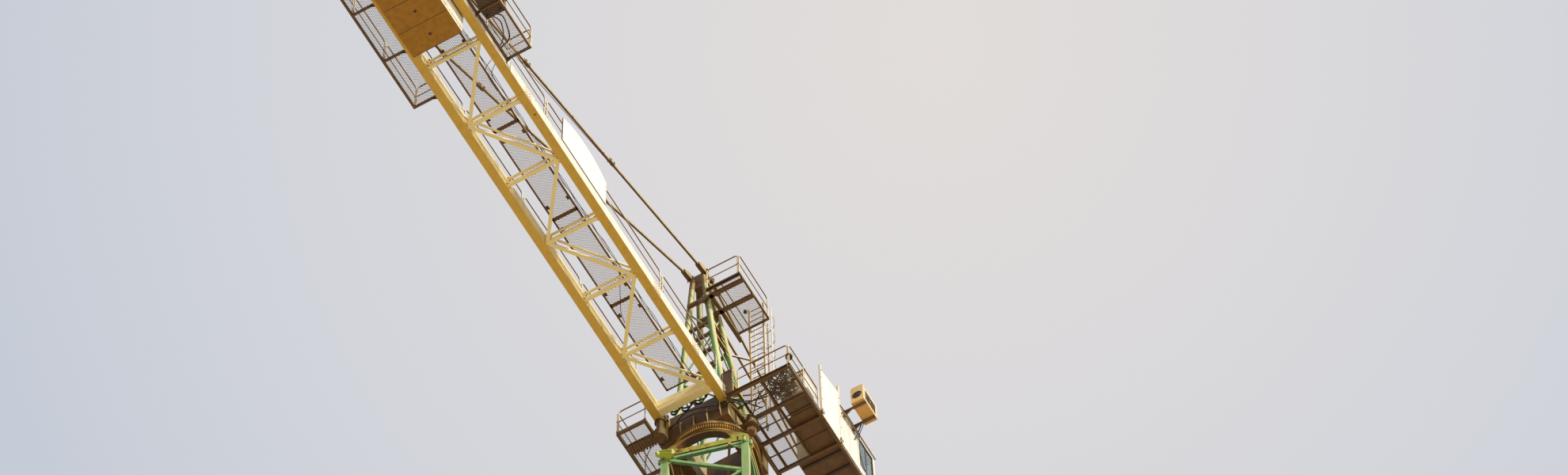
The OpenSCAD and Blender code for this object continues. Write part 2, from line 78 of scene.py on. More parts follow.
# Node helpers shared by all materials
def linear(red, green, blue):
    out = []
    for c in (red, green, blue):
        c /= 255
        out.append(c / 12.92 if c <= 0.04045 else ((c + 0.055) / 1.055) ** 2.4)
    return (*out, 1.0)


def node(tree, kind, x=0, y=0, **values):
    made = tree.nodes.new(kind)
    made.location = (x, y)
    for key, value in values.items():
        if key in made.inputs:
            made.inputs[key].default_value = value
        else:
            setattr(made, key, value)
    return made


def rampNode(tree, fac, places, colours, x=0, y=0):
    ramp = node(tree, "ShaderNodeValToRGB", x, y)
    points = ramp.color_ramp.elements
    while len(points) < len(places):
        points.new(0.5)
    for point, place, colour in zip(points, places, colours):
        point.position = place
        point.color = colour
    tree.links.new(fac, ramp.inputs["Fac"])
    return ramp.outputs["Color"]


def rangeNode(tree, value, low, high, x=0, y=0, toLow=0.0, toHigh=1.0):
    made = node(tree, "ShaderNodeMapRange", x, y)
    for key, number in (("From Min", low), ("From Max", high), ("To Min", toLow), ("To Max", toHigh)):
        made.inputs[key].default_value = number
    tree.links.new(value, made.inputs["Value"])
    return made.outputs["Result"]


def mixNode(tree, fac, a, b, x=0, y=0, mode="MIX"):
    mix = node(tree, "ShaderNodeMix", x, y, data_type="RGBA", blend_type=mode)
    for value, socket in ((fac, mix.inputs[0]), (a, mix.inputs[6]), (b, mix.inputs[7])):
        if isinstance(value, (tuple, float)):
            socket.default_value = value
        else:
            tree.links.new(value, socket)
    return mix.outputs[2]


def mathNode(tree, operation, a, b, x=0, y=0):
    both = node(tree, "ShaderNodeMath", x, y, operation=operation)
    tree.links.new(a, both.inputs[0])
    tree.links.new(b, both.inputs[1])
    return both.outputs[0]


# The end of a node tree: two shaders mixed by a share, then the output node
def mixOutput(tree, share, a, b, kind, x, y=0):
    mix = node(tree, "ShaderNodeMixShader", x, y)
    for value, socket in zip((share, a, b), mix.inputs):
        tree.links.new(value, socket)
    out = node(tree, kind, x + 200, y)
    tree.links.new(mix.outputs[0], out.inputs["Surface"])


def grey(value):
    return (value, value, value, 1.0)


# Sky: pale and slightly warm above the tower, bluer away from it; the same for glass and metal to reflect
skySet = {
    "warm": linear(226, 221, 218),
    "pale": linear(219, 217, 219),
    "cool": linear(211, 213, 219),
    "blue": linear(198, 204, 215),
    "stops": (0.0, 0.35, 0.65, 1.0),
    "glowPixel": (1180, 60),
    "focalPixels": 5917,
    "frameCentre": (990, 300),
    "reachPixels": 1240,
    "lightColour": (0.93, 0.92, 0.92, 1.0),
    "lightStrength": 0.55,
}


def makeSky(s):
    world = bpy.data.worlds.new("sky")
    world.use_nodes = True
    bpy.context.scene.world = world
    tree = world.node_tree
    tree.nodes.clear()
    aside = (s["glowPixel"][0] - s["frameCentre"][0]) / s["focalPixels"]
    below = (s["glowPixel"][1] - s["frameCentre"][1]) / s["focalPixels"]
    glow = Vector(cameraSet["ahead"]) + aside * Vector(cameraSet["right"]) + below * Vector(cameraSet["down"])
    coord = node(tree, "ShaderNodeTexCoord", -900, 0)
    dot = node(tree, "ShaderNodeVectorMath", -700, 0, operation="DOT_PRODUCT")
    dot.inputs[1].default_value = glow.normalized()
    tree.links.new(coord.outputs["Generated"], dot.inputs[0])
    angle = node(tree, "ShaderNodeMath", -520, 0, operation="ARCCOSINE", use_clamp=False)
    tree.links.new(dot.outputs["Value"], angle.inputs[0])
    share = rangeNode(tree, angle.outputs[0], 0.0, s["reachPixels"] / s["focalPixels"], -350, 0)
    colour = rampNode(tree, share, s["stops"], [s[tone] for tone in ("warm", "pale", "cool", "blue")], -150, 0)
    shown = node(tree, "ShaderNodeBackground", 150, 100)
    tree.links.new(colour, shown.inputs["Color"])
    light = node(tree, "ShaderNodeBackground", 150, -100, Color=s["lightColour"], Strength=s["lightStrength"])
    path = node(tree, "ShaderNodeLightPath", -150, 400)
    seen = path.outputs["Is Camera Ray"]
    for name in ("Is Glossy Ray", "Is Transmission Ray"):
        seen = mathNode(tree, "MAXIMUM", seen, path.outputs[name], 0, 400)
    mixOutput(tree, seen, light.outputs[0], shown.outputs[0], "ShaderNodeOutputWorld", 350)


makeSky(skySet)


# Floor: seen from above it is a pale studio floor, and from below the camera looks through it
floorSet = {"half": 160.0, "drop": 0.003, "colour": linear(222, 212, 196)}


def makeFloor(s):
    half, z = s["half"], -s["drop"]
    mesh = bpy.data.meshes.new("floor")
    mesh.from_pydata([(-half, -half, z), (half, -half, z), (half, half, z), (-half, half, z)], [], [(0, 1, 2, 3)])
    floor = bpy.data.objects.new("floor", mesh)
    bpy.context.scene.collection.objects.link(floor)
    mat = bpy.data.materials.new("floorPale")
    mat.use_nodes = True
    tree = mat.node_tree
    tree.nodes.clear()
    matt = node(tree, "ShaderNodeBsdfDiffuse", 0, 0, Color=s["colour"])
    clear = node(tree, "ShaderNodeBsdfTransparent", 0, -150)
    path = node(tree, "ShaderNodeLightPath", -400, 300)
    facing = node(tree, "ShaderNodeNewGeometry", -400, 0)
    below = mathNode(tree, "MULTIPLY", path.outputs["Is Camera Ray"], facing.outputs["Backfacing"], -200, 200)
    mixOutput(tree, below, matt.outputs[0], clear.outputs[0], "ShaderNodeOutputMaterial", 200)
    mesh.materials.append(mat)


makeFloor(floorSet)


# Sun: low and warm, from the cab side and a little from behind
sunSet = {"towards": (-0.25, -0.87, 0.42), "strength": 2.7, "colour": (1.0, 0.94, 0.83), "angle": 4.0}


def makeSun(s):
    data = bpy.data.lights.new("sun", "SUN")
    data.energy = s["strength"]
    data.color = s["colour"]
    data.angle = math.radians(s["angle"])
    sun = bpy.data.objects.new("sun", data)
    sun.rotation_mode = "QUATERNION"
    sun.rotation_quaternion = Vector(s["towards"]).to_track_quat("Z", "Y")
    bpy.context.scene.collection.objects.link(sun)


makeSun(sunSet)
print("camera, sky, floor and sun made")


# Weathered paint and steel. The cab side and the tops get a lighter colour, which is painted light, and the undersides
# a darker one, which is painted shade; rust sits in patches with small spots round them; all of it turns with the
# crane.
weatherAndLightSet = {
    "paintedLightSide": (-0.15, -0.90, 0.40),
    "paintedLightRange": (0.30, 0.72),
    "underRange": (-0.35, -0.85),
    "streakStretch": (3.0, 3.0, 0.35),
    "spotScale": 46.0,
    "fineScale": 90.0,
    "toneScale": 60,
    "patchStops": (0.35, 0.7),
    "streakStops": (0.42, 0.75),
    "spotStops": (0.72, 0.76),
    "toneStops": (0.35, 0.65),
    "rustStep": 0.03,
    "spreadShare": 0.12,
    "rustRough": 0.9,
    "rustRelief": 0.6,
    "reliefDepth": 0.002,
}


def steelMaterial(name, s, w=weatherAndLightSet):
    mat = bpy.data.materials.new(name)
    mat.use_nodes = True
    tree = mat.node_tree
    links = tree.links
    shader = tree.nodes["Principled BSDF"]
    source = node(tree, "ShaderNodeTexCoord", -1700, 0)
    coord = source.outputs["Object"]

    def noise(scale, detail, y, stretch=None, rough=0.6):
        place = coord
        if stretch:
            mapping = node(tree, "ShaderNodeMapping", -1350, y)
            mapping.inputs["Scale"].default_value = stretch
            links.new(coord, mapping.inputs["Vector"])
            place = mapping.outputs["Vector"]
        made = node(tree, "ShaderNodeTexNoise", -1150, y, Scale=scale, Detail=detail, Roughness=rough)
        links.new(place, made.inputs["Vector"])
        return made.outputs["Fac"]

    normal = node(tree, "ShaderNodeSeparateXYZ", -1350, 500)
    links.new(source.outputs["Normal"], normal.inputs[0])
    # Painted shade: faces turned down mix to the darker underside colour
    under = rangeNode(tree, normal.outputs["Z"], *w["underRange"], -1150, 500)
    # Painted light: faces turned towards the sun's side mix to the lighter colour
    dot = node(tree, "ShaderNodeVectorMath", -1350, 700, operation="DOT_PRODUCT")
    dot.inputs[1].default_value = Vector(w["paintedLightSide"]).normalized()
    links.new(source.outputs["Normal"], dot.inputs[0])
    paintedLightMask = rangeNode(tree, dot.outputs["Value"], *w["paintedLightRange"], -1150, 700)
    patches = rampNode(tree, noise(s["patchScale"], 5, 250), w["patchStops"], (grey(0), grey(1)), -900, 250)
    paint = mixNode(tree, patches, s["colour"], s["faded"], -700, 300)
    if "low" in s:
        height = node(tree, "ShaderNodeSeparateXYZ", -1350, 900)
        links.new(coord, height.inputs[0])
        lowness = rangeNode(tree, height.outputs["Z"], *s["lowRange"], -1150, 900)
        paint = mixNode(tree, lowness, paint, s["low"], -600, 500)
    paint = mixNode(tree, paintedLightMask, paint, s["paintedLight"], -500, 300)
    paint = mixNode(tree, under, paint, s["under"], -350, 300)
    streaks = rampNode(tree, noise(4, 4, 0, w["streakStretch"]), w["streakStops"], (grey(1), grey(1 - s["dirt"])),
                       -900, 0)
    paint = mixNode(tree, 1.0, paint, streaks, -200, 300, "MULTIPLY")
    grain = noise(s["rustScale"], 8, -250, rough=0.72)
    spread = noise(s["rustScale"] * w["spreadShare"], 3, -450)
    both = mathNode(tree, "MULTIPLY", grain, spread, -900, -350)
    edge = s["rustEdge"]
    rust = rampNode(tree, both, (edge, edge + w["rustStep"]), (grey(0), grey(1)), -700, -350)
    spots = rampNode(tree, noise(w["spotScale"], 2, -1000), w["spotStops"], (grey(0), grey(s["spots"])), -700, -1000)
    rust = mixNode(tree, 1.0, rust, spots, -500, -500, "LIGHTEN")
    rustTone = rampNode(tree, noise(w["toneScale"], 4, -650), w["toneStops"], (s["rustDark"], s["rustLight"]),
                        -700, -600)
    paint = mixNode(tree, rust, paint, rustTone, 0, 300)
    links.new(paint, shader.inputs["Base Color"])
    rough = rangeNode(tree, rust, 0, 1, -400, -100, s["roughness"], w["rustRough"])
    links.new(rough, shader.inputs["Roughness"])
    bump = node(tree, "ShaderNodeBump", -200, -300, Strength=s["bump"], Distance=w["reliefDepth"])
    height = node(tree, "ShaderNodeMath", -400, -400, operation="MULTIPLY_ADD")
    height.inputs[1].default_value = w["rustRelief"]
    links.new(rust, height.inputs[0])
    links.new(noise(w["fineScale"], 3, -850), height.inputs[2])
    links.new(height.outputs[0], bump.inputs["Height"])
    links.new(bump.outputs["Normal"], shader.inputs["Normal"])
    return mat


# Finishes: the paint and its faded patches as they look in shade, the sunny side's painted light, the underside's
# painted shade, then the wear's values
wearNames = ("patchScale", "dirt", "rustScale", "rustEdge", "roughness", "bump")
rustBrown = {"rustDark": linear(62, 32, 14), "rustLight": linear(150, 84, 34), "spots": 0.35}
finishes = {
    "cream_paint": ((240, 210, 128), (232, 196, 104), (246, 240, 222), (216, 172, 66),
                    (1.2, 0.14, 9.0, 0.385, 0.55, 0.25)),
    # A copy of the cream paint with a duller, yellower sunny side: painted shade
    "inner_cream": ((240, 208, 122), (230, 192, 100), (250, 230, 168), (218, 174, 68),
                    (1.2, 0.14, 9.0, 0.385, 0.55, 0.25)),
    "brace_cream": ((252, 236, 184), (250, 230, 170), (254, 246, 218), (250, 226, 156),
                    (1.2, 0.06, 9.0, 0.40, 0.55, 0.2)),
    "leg_paint": ((120, 104, 44), (104, 112, 56), (226, 222, 160), (96, 78, 28),
                  (2.5, 0.3, 12.0, 0.36, 0.6, 0.35)),
    "green_paint": ((118, 176, 112), (150, 180, 104), (206, 214, 152), (70, 116, 66),
                    (2.5, 0.35, 12.0, 0.33, 0.6, 0.35)),
    # The support's dark brown is painted shade; its own yellow-green paint shows only in the lime band low down
    "support_paint": ((84, 54, 20), (104, 70, 24), (190, 158, 56), (74, 48, 18),
                      (3.0, 0.4, 10.0, 0.30, 0.5, 0.35)),
    # Brown as the platforms' steel looks in shade: the colour is partly painted shade
    "brown_paint": ((104, 72, 34), (84, 56, 24), (206, 184, 130), (108, 74, 34),
                    (2.0, 0.35, 10.0, 0.36, 0.6, 0.35)),
    "mesh_metal": ((156, 134, 106), (134, 110, 82), (222, 208, 178), (138, 112, 84),
                   (3.0, 0.25, 10.0, 0.40, 0.6, 0.2)),
    "lime_paint": ((196, 204, 84), (168, 186, 92), (226, 230, 150), (182, 186, 66),
                   (6.0, 0.25, 14.0, 0.38, 0.55, 0.3)),
    # Brown as the head block's faces look in shade: the colour is partly painted shade
    "head_brown_in_shade": ((120, 82, 38), (98, 66, 30), (190, 160, 96), (92, 62, 28),
                   (3.0, 0.35, 10.0, 0.34, 0.6, 0.35)),
    "board_white": ((250, 246, 234), (244, 236, 216), (255, 253, 248), (214, 190, 140),
                    (1.5, 0.06, 9.0, 0.47, 0.45, 0.08)),
    "cooler_cream": ((230, 196, 128), (220, 182, 112), (246, 226, 176), (214, 160, 80),
                     (2.5, 0.15, 9.0, 0.42, 0.5, 0.1)),
    "rail_paint": ((196, 160, 96), (168, 130, 72), (246, 238, 214), (118, 80, 38),
                   (3.0, 0.25, 14.0, 0.40, 0.5, 0.2)),
    "white_paint": ((230, 214, 176), (216, 192, 142), (250, 246, 236), (110, 78, 36),
                    (1.5, 0.12, 9.0, 0.44, 0.45, 0.15)),
    "ochre_concrete": ((226, 188, 104), (206, 162, 78), (250, 242, 222), (172, 120, 36),
                       (2.2, 0.3, 16.0, 0.42, 0.9, 0.6)),
    "ring_paint": ((132, 86, 30), (104, 66, 22), (214, 158, 56), (112, 72, 26),
                   (4.0, 0.35, 16.0, 0.36, 0.4, 0.2)),
    "dark_steel": ((84, 60, 34), (64, 44, 24), (150, 132, 100), (66, 42, 18),
                   (5.0, 0.3, 20.0, 0.34, 0.5, 0.3)),
    "cable_rubber": ((48, 38, 28), (62, 50, 36), (96, 84, 66), (40, 30, 20),
                     (8.0, 0.3, 30.0, 0.50, 0.55, 0.15)),
}
finishExtras = {
    "leg_paint": {"low": linear(96, 168, 96), "lowRange": (13.6, 11.6)},
    # Lime band at the support's foot is its own paint; the brown above it is painted shade
    "support_paint": {"low": linear(176, 178, 70), "lowRange": (9.56, 9.42)},
    "board_white": {"spots": 0.0},
    "cable_rubber": {"spots": 0.0},
}
paints = {}
for finish, (*tones, wear) in finishes.items():
    look = {key: linear(*tone) for key, tone in zip(("colour", "faded", "paintedLight", "under"), tones)}
    look.update(zip(wearNames, wear))
    paints[finish] = steelMaterial(finish, {**rustBrown, **look, **finishExtras.get(finish, {})})


# Cab glass, clear with dusty patches
glassSet = {"colour": linear(196, 214, 214), "dusty": linear(226, 226, 206), "stops": (0.3, 0.8),
            "roughness": (0.04, 0.2), "ior": 1.5, "transmission": 0.9}


def glassMaterial(s):
    mat = bpy.data.materials.new("cab_glass")
    mat.use_nodes = True
    tree = mat.node_tree
    shader = tree.nodes["Principled BSDF"]
    shader.inputs["Transmission Weight"].default_value = s["transmission"]
    shader.inputs["IOR"].default_value = s["ior"]
    coord = node(tree, "ShaderNodeTexCoord", -900, 0)
    noise = node(tree, "ShaderNodeTexNoise", -700, 0, Scale=3.0, Detail=4.0)
    tree.links.new(coord.outputs["Object"], noise.inputs["Vector"])
    tone = rampNode(tree, noise.outputs["Fac"], s["stops"], (s["colour"], s["dusty"]), -450, 100)
    tree.links.new(tone, shader.inputs["Base Color"])
    rough = rangeNode(tree, noise.outputs["Fac"], 0, 1, -450, -150, *s["roughness"])
    tree.links.new(rough, shader.inputs["Roughness"])
    return mat


paints["cab_glass"] = glassMaterial(glassSet)
print("materials made:", len(paints))


# Which finish each node gets: the longest name start that fits
finishOf = {
    "green_paint": ["base_cross", "mast_section"],
    "leg_paint": ["head_legs"],
    "support_paint": ["slewing_support"],
    "cream_paint": ["girder", "jib_section"],
    "inner_cream": ["girder_left", "counter_jib_bracing"],
    "brown_paint": ["turntable", "left_platform", "cab_platform", "top_platform", "walkway", "side_platform",
                    "head_block", "cab_floor", "rear_ties", "jib_ties", "mast_ladder", "slewing_drive"],
    "rail_paint": ["cab_platform_rail", "top_platform_rail", "walkway_rails", "head_ladder"],
    "white_paint": ["cab_walls", "cab_roof", "air_conditioner", "electrical_cabinet", "screen_panel", "name_board"],
    "ochre_concrete": ["counterweights"],
    "cab_glass": ["cab_glass"],
    "ring_paint": ["slewing_ring", "trolley", "hook_block"],
    "dark_steel": ["resistor_box", "hoist_winch", "hoist_rope"],
}


def finishNodes():
    for name, obj in nodes.items():
        fitting = [(len(start), finish) for finish, starts in finishOf.items()
                   for start in starts if name.startswith(start)]
        finish = max(fitting)[1]
        obj.data.materials.clear()
        obj.data.materials.append(paints[finish])


finishNodes()
print("nodes finished")


# Shapes are gathered in one bmesh for each added piece
def axesOf(a, b):
    ahead = (b - a).normalized()
    up = Vector((0, 0, 1)) if abs(ahead.z) < 0.95 else Vector((1, 0, 0))
    side = up.cross(ahead).normalized()
    return side, ahead.cross(side)


def addSkin(bm, rings, smooth=False, caps=True):
    made = [[bm.verts.new(p) for p in ring] for ring in rings]
    count = len(made[0])
    for low, high in zip(made, made[1:]):
        for i in range(count):
            j = (i + 1) % count
            face = bm.faces.new((low[i], low[j], high[j], high[i]))
            face.smooth = smooth
    if caps:
        bm.faces.new(made[0][::-1])
        bm.faces.new(made[-1])


def addProfile(bm, a, b, outline, smooth=False):
    a, b = Vector(a), Vector(b)
    side, up = axesOf(a, b)
    addSkin(bm, [[p + side * u + up * v for u, v in outline] for p in (a, b)], smooth)


def addBar(bm, a, b, width, depth=None):
    w, h = width / 2, (depth or width) / 2
    addProfile(bm, a, b, [(-w, -h), (w, -h), (w, h), (-w, h)])


# An angle section: its heel is on the line from a to b, and the legs go to (sideways, upward)
def addAngle(bm, a, b, leg, thick, sideways=1, upward=1):
    outline = [(0, 0), (leg, 0), (leg, thick), (thick, thick), (thick, leg), (0, leg)]
    if sideways * upward < 0:
        outline = outline[::-1]
    addProfile(bm, a, b, [(u * sideways, v * upward) for u, v in outline])


def circleOf(radius, sides):
    turns = [2 * math.pi * i / sides for i in range(sides)]
    return [(radius * math.cos(t), radius * math.sin(t)) for t in turns]


# Points along an arc, from start through the turn
def arcOf(u, v, radius, start, turn, steps):
    turns = [start + turn * k / steps for k in range(steps + 1)]
    return [(u + radius * math.cos(t), v + radius * math.sin(t)) for t in turns]


def addRound(bm, a, b, size, sides=10):
    addProfile(bm, a, b, circleOf(size / 2, sides), smooth=sides > 6)


# A round that stands upright, from one height to another
def addPost(bm, place, low, high, size, sides=10):
    addRound(bm, (*place, low), (*place, high), size, sides)


def addTube(bm, points, size, sides=6):
    points = [Vector(p) for p in points]
    rings = []
    side = axesOf(points[0], points[1])[0]
    for i, p in enumerate(points):
        ahead = (points[min(i + 1, len(points) - 1)] - points[max(i - 1, 0)]).normalized()
        side = (side - ahead * side.dot(ahead)).normalized()
        up = ahead.cross(side)
        rings.append([p + side * u + up * v for u, v in circleOf(size / 2, sides)])
    addSkin(bm, rings, smooth=True)


def smoothPath(points, steps=5):
    points = [Vector(p) for p in points]
    ends = [points[0] * 2 - points[1]] + points + [points[-1] * 2 - points[-2]]
    path = []
    for p0, p1, p2, p3 in zip(ends, ends[1:], ends[2:], ends[3:]):
        for k in range(steps):
            t = k / steps
            path.append(0.5 * (2 * p1 + (p2 - p0) * t + (2 * p0 - 5 * p1 + 4 * p2 - p3) * t**2
                               + (3 * p1 - p0 - 3 * p2 + p3) * t**3))
    return path + [points[-1]]


def addCable(bm, points, size, sides=6, steps=5):
    addTube(bm, smoothPath(points, steps), size, sides)


# A box between two opposite corners, given in any order
def addBox(bm, a, b):
    (x0, x1), (y0, y1), (z0, z1) = (sorted(pair) for pair in zip(a, b))
    base = [(x0, y0), (x1, y0), (x1, y1), (x0, y1)]
    addSkin(bm, [[Vector((x, y, z)) for x, y in base] for z in (z0, z1)])


# A flat plate with its outline in 3D, as thick as the step from one face to the other
def addPlate(bm, outline, step):
    step = Vector(step)
    outline = [Vector(p) for p in outline]
    normal = (outline[1] - outline[0]).cross(outline[2] - outline[1])
    if normal.dot(step) < 0:
        outline = outline[::-1]
    addSkin(bm, [outline, [p + step for p in outline]])


def addTurned(bm, turn, outline, step):
    addPlate(bm, [turn @ Vector(p) for p in outline], turn @ Vector(step))


# A plate square to one axis: its place on that axis and its outline in the other two
def addSheet(bm, axis, place, outline, thick):
    i = "xyz".index(axis)
    addPlate(bm, [(*p[:i], place, *p[i:]) for p in outline], [thick if k == i else 0 for k in range(3)])


def addRectangle(bm, axis, place, a, b, thick):
    addSheet(bm, axis, place, [a, (b[0], a[1]), b, (a[0], b[1])], thick)


# Louvre blades one above the other on a side that faces -Y, each rising from its outer to its inner edge
def addLouvres(bm, x, y, z, count, step, rise, thick):
    for i in range(count):
        low, high = z + i * step, z + i * step + rise
        addPlate(bm, [(x[0], y[0], low), (x[1], y[0], low), (x[1], y[1], high), (x[0], y[1], high)], (0, 0, thick))


# A hexagon head on a washer, with its shank end if it is a stud
def addBolt(bm, place, axis, size):
    place, axis = Vector(place), Vector(axis).normalized()
    addRound(bm, place, place + axis * size * 0.16, size * 2.1, 12)
    addRound(bm, place + axis * size * 0.16, place + axis * size * 0.8, size * 1.75, 6)
    addRound(bm, place + axis * size * 0.8, place + axis * size * 1.1, size, 8)


def addRing(bm, centre, axis, radius, size, sides=24, thick=6):
    centre, axis = Vector(centre), Vector(axis).normalized()
    side, up = axesOf(centre, centre + axis)
    made = []
    for turn in circleOf(1, sides):
        out = side * turn[0] + up * turn[1]
        made.append([bm.verts.new(centre + out * (radius + u) + axis * v) for u, v in circleOf(size / 2, thick)])
    for i in range(sides):
        low, high = made[i], made[(i + 1) % sides]
        for k in range(thick):
            n = (k + 1) % thick
            face = bm.faces.new((low[k], high[k], high[n], low[n]))
            face.smooth = True


def makePiece(name, bm, finish, body="upper", replaced=(), bevel=0.0):
    mesh = bpy.data.meshes.new(name)
    bm.to_mesh(mesh)
    bm.free()
    mesh.set_sharp_from_angle(angle=math.radians(40))
    return dress(name, mesh, finish, body, replaced, bevel)


def dress(name, mesh, finish, body, replaced, bevel=0.0):
    obj = bpy.data.objects.new(name, mesh)
    bpy.context.scene.collection.objects.link(obj)
    mesh.materials.append(paints[finish])
    if bevel:
        edge = obj.modifiers.new("edges", "BEVEL")
        edge.width = bevel
        edge.segments = 1
        edge.limit_method = "ANGLE"
    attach(obj, body)
    if replaced:
        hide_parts(*replaced)
    return obj


# Expanded metal: strands that zigzag from bond to bond, as one mesh
meshSet = {"pitch": 0.0125, "half": 0.026, "strand": 0.0036, "thick": 0.0024, "spread": 0.46}


def meshFloor(name, areas, z, finish, s=meshSet, replaced=()):
    verts, faces = [], []
    w, h = s["strand"] / 2, s["thick"] / 2
    for x0, y0, x1, y1 in areas:
        rows = max(2, round((x1 - x0) / s["pitch"]))
        steps = max(2, round((y1 - y0) / s["half"]))
        for i in range(1, rows):
            for k in range(steps + 1):
                x = x0 + (i + (s["spread"] if (i + k) % 2 else -s["spread"])) * (x1 - x0) / rows
                y = y0 + k * (y1 - y0) / steps
                first = len(verts)
                verts += [(x - w, y, z - h), (x + w, y, z - h), (x + w, y, z + h), (x - w, y, z + h)]
                if k:
                    for c in range(4):
                        n = (c + 1) % 4
                        faces.append((first - 4 + c, first - 4 + n, first + n, first + c)[::-1])
    mesh = bpy.data.meshes.new(name)
    mesh.from_pydata(verts, [], faces)
    return dress(name, mesh, finish, "upper", replaced)


# One length of handrail: the top rail bends down into the end posts, and clamps hold the middle rail
railSet = {"height": 0.55, "size": 0.02, "bend": 0.06, "lower": 0.5, "foot": 0.05}


def addRail(bm, start, end, posts=2, s=railSet):
    start, end = Vector(start), Vector(end)
    ahead = (end - start).normalized()
    up = Vector((0, 0, 1))
    top = s["height"] - s["size"] / 2
    bend = s["bend"]

    def corner(post, inward):
        turns = [math.pi / 2 * k / 6 for k in range(7)]
        return [post + up * (top - bend + bend * math.sin(t)) + inward * bend * (1 - math.cos(t)) for t in turns]

    path = [start] + corner(start, ahead) + corner(end, -ahead)[::-1] + [end]
    addTube(bm, path, s["size"], 10)
    low = up * s["height"] * s["lower"]
    addRound(bm, start + low, end + low, s["size"] * 0.8, 8)
    for i in range(1, posts - 1):
        p = start.lerp(end, i / (posts - 1))
        addRound(bm, p, p + up * top, s["size"] * 0.8, 8)
    for p in (start, end):
        addRound(bm, p + low - ahead * s["size"] * 0.8, p + low + ahead * s["size"] * 0.8, s["size"] * 1.3, 8)
        addRound(bm, p, p + up * s["foot"], s["size"] * 1.5, 10)


# Mast details are set out square to its sides, then turned with it
mastTurn = Matrix.Rotation(math.radians(15.5), 4, "Z")
corners = [(-1, -1), (1, -1), (1, 1), (-1, 1)]


def turned(bm):
    bmesh.ops.transform(bm, matrix=mastTurn, verts=bm.verts)
    return bm


# Rings round a vertical axis with any outer outline, and parts cut by other parts
def addAnnulus(bm, centre, outline, inner, low, high):
    cx, cy = centre
    made = []
    for x, y in outline:
        size = math.hypot(x, y)
        u, v = x / size * inner, y / size * inner
        made.append([bm.verts.new(p) for p in ((cx + x, cy + y, low), (cx + x, cy + y, high), (cx + u, cy + v, high),
                                               (cx + u, cy + v, low))])
    for i in range(len(made)):
        a, b = made[i], made[(i + 1) % len(made)]
        for k in range(4):
            n = (k + 1) % 4
            bm.faces.new((a[k], b[k], b[n], a[n]))


def addHollow(bm, low, high, along, wall):
    (x0, y0, z0), (x1, y1, z1) = low, high
    addBox(bm, low, (x1, y1, z0 + wall))
    addBox(bm, (x0, y0, z1 - wall), high)
    if along == "x":
        addBox(bm, (x0, y0, z0 + wall), (x1, y0 + wall, z1 - wall))
        addBox(bm, (x0, y1 - wall, z0 + wall), (x1, y1, z1 - wall))
    else:
        addBox(bm, (x0, y0, z0 + wall), (x0 + wall, y1, z1 - wall))
        addBox(bm, (x1 - wall, y0, z0 + wall), (x1, y1, z1 - wall))


def gearOutline(teeth, radius, height):
    outline = []
    for i in range(teeth):
        for share, r in ((-0.3, radius - height), (-0.14, radius), (0.14, radius), (0.3, radius - height)):
            t = 2 * math.pi * (i + share) / teeth
            outline.append((r * math.cos(t), r * math.sin(t)))
    return outline


def carved(base, steps):
    made = []
    for bm in [base] + [tool for tool, operation in steps]:
        bmesh.ops.recalc_face_normals(bm, faces=bm.faces)
        mesh = bpy.data.meshes.new("carving")
        bm.to_mesh(mesh)
        bm.free()
        obj = bpy.data.objects.new("carving", mesh)
        bpy.context.scene.collection.objects.link(obj)
        made.append(obj)
    for tool, (_, operation) in zip(made[1:], steps):
        cut = made[0].modifiers.new("cut", "BOOLEAN")
        cut.operation = operation
        cut.solver = "EXACT"
        cut.object = tool
    bpy.context.view_layer.update()
    whole = made[0].evaluated_get(bpy.context.evaluated_depsgraph_get())
    result = bpy.data.meshes.new_from_object(whole)
    for obj in made:
        bpy.data.objects.remove(obj)
    return result


def cylinder(low, high, lowRadius, highRadius, sides=64):
    bm = bmesh.new()
    a, b = Vector(low), Vector(high)
    side, up = axesOf(a, b)
    rings = [[p + side * u + up * v for u, v in circleOf(r, sides)] for p, r in ((a, lowRadius), (b, highRadius))]
    addSkin(bm, rings, smooth=True)
    return bm


# Slewing support: a square frame, four legs left between two cones and two crossing arches, and a flange
supportFormSet = {"low": 9.3003, "half": 0.6125, "height": 0.4994, "beam": (0.1, 0.11), "flange": 0.04, "arch": 0.405,
                  "outer": (0.8672, 0.6), "inner": (0.6962, 0.492), "bore": 0.48, "rim": 0.618}


def makeSupportForm(s):
    half, top, z = s["half"], s["height"] - s["flange"], s["low"]
    wide, tall = s["beam"]
    base = bmesh.new()
    addBox(base, (-half, -half, z + tall - 0.001), (half, half, z + top + 0.001))
    steps = [(cylinder((0, 0, z + tall - 0.002), (0, 0, z + top + 0.002), *s["outer"]), "INTERSECT"),
             (cylinder((0, 0, z + tall - 0.003), (0, 0, z + top + 0.003), *s["inner"]), "DIFFERENCE"),
             (cylinder((-1, 0, z), (1, 0, z), s["arch"], s["arch"]), "DIFFERENCE"),
             (cylinder((0, -1, z), (0, 1, z), s["arch"], s["arch"]), "DIFFERENCE")]
    bm = bmesh.new()
    bm.from_mesh(carved(base, steps))
    for side in (1, -1):
        near, far = side * half, side * (half - wide)
        addBox(bm, (-half, near, z), (half, far, z + tall))
        addBox(bm, (near, -half + wide, z), (far, half - wide, z + tall))
    addAnnulus(bm, (0, 0), circleOf(s["rim"], 96), s["bore"], z + top, z + s["height"])
    makePiece("supportForm", turned(bm), "support_paint", "tower", ["slewing_support"], 0.003)


# Slewing ring: the toothed fixed race with a plain race above it
ringSet = {"low": 9.8, "teeth": 120, "radius": 0.64, "tooth": 0.022, "bore": 0.48, "toothed": 0.08, "height": 0.11,
           "upper": 0.61, "root": 0.619}


def makeRingForm(s):
    bm = bmesh.new()
    low, mid, high = s["low"], s["low"] + s["toothed"], s["low"] + s["height"]
    addAnnulus(bm, (0, 0), gearOutline(s["teeth"], s["radius"], s["tooth"]), s["bore"], low, mid)
    addAnnulus(bm, (0, 0), circleOf(s["upper"], 96), s["bore"], mid, high)
    makePiece("ringForm", bm, "ring_paint", "tower", ["slewing_ring"])


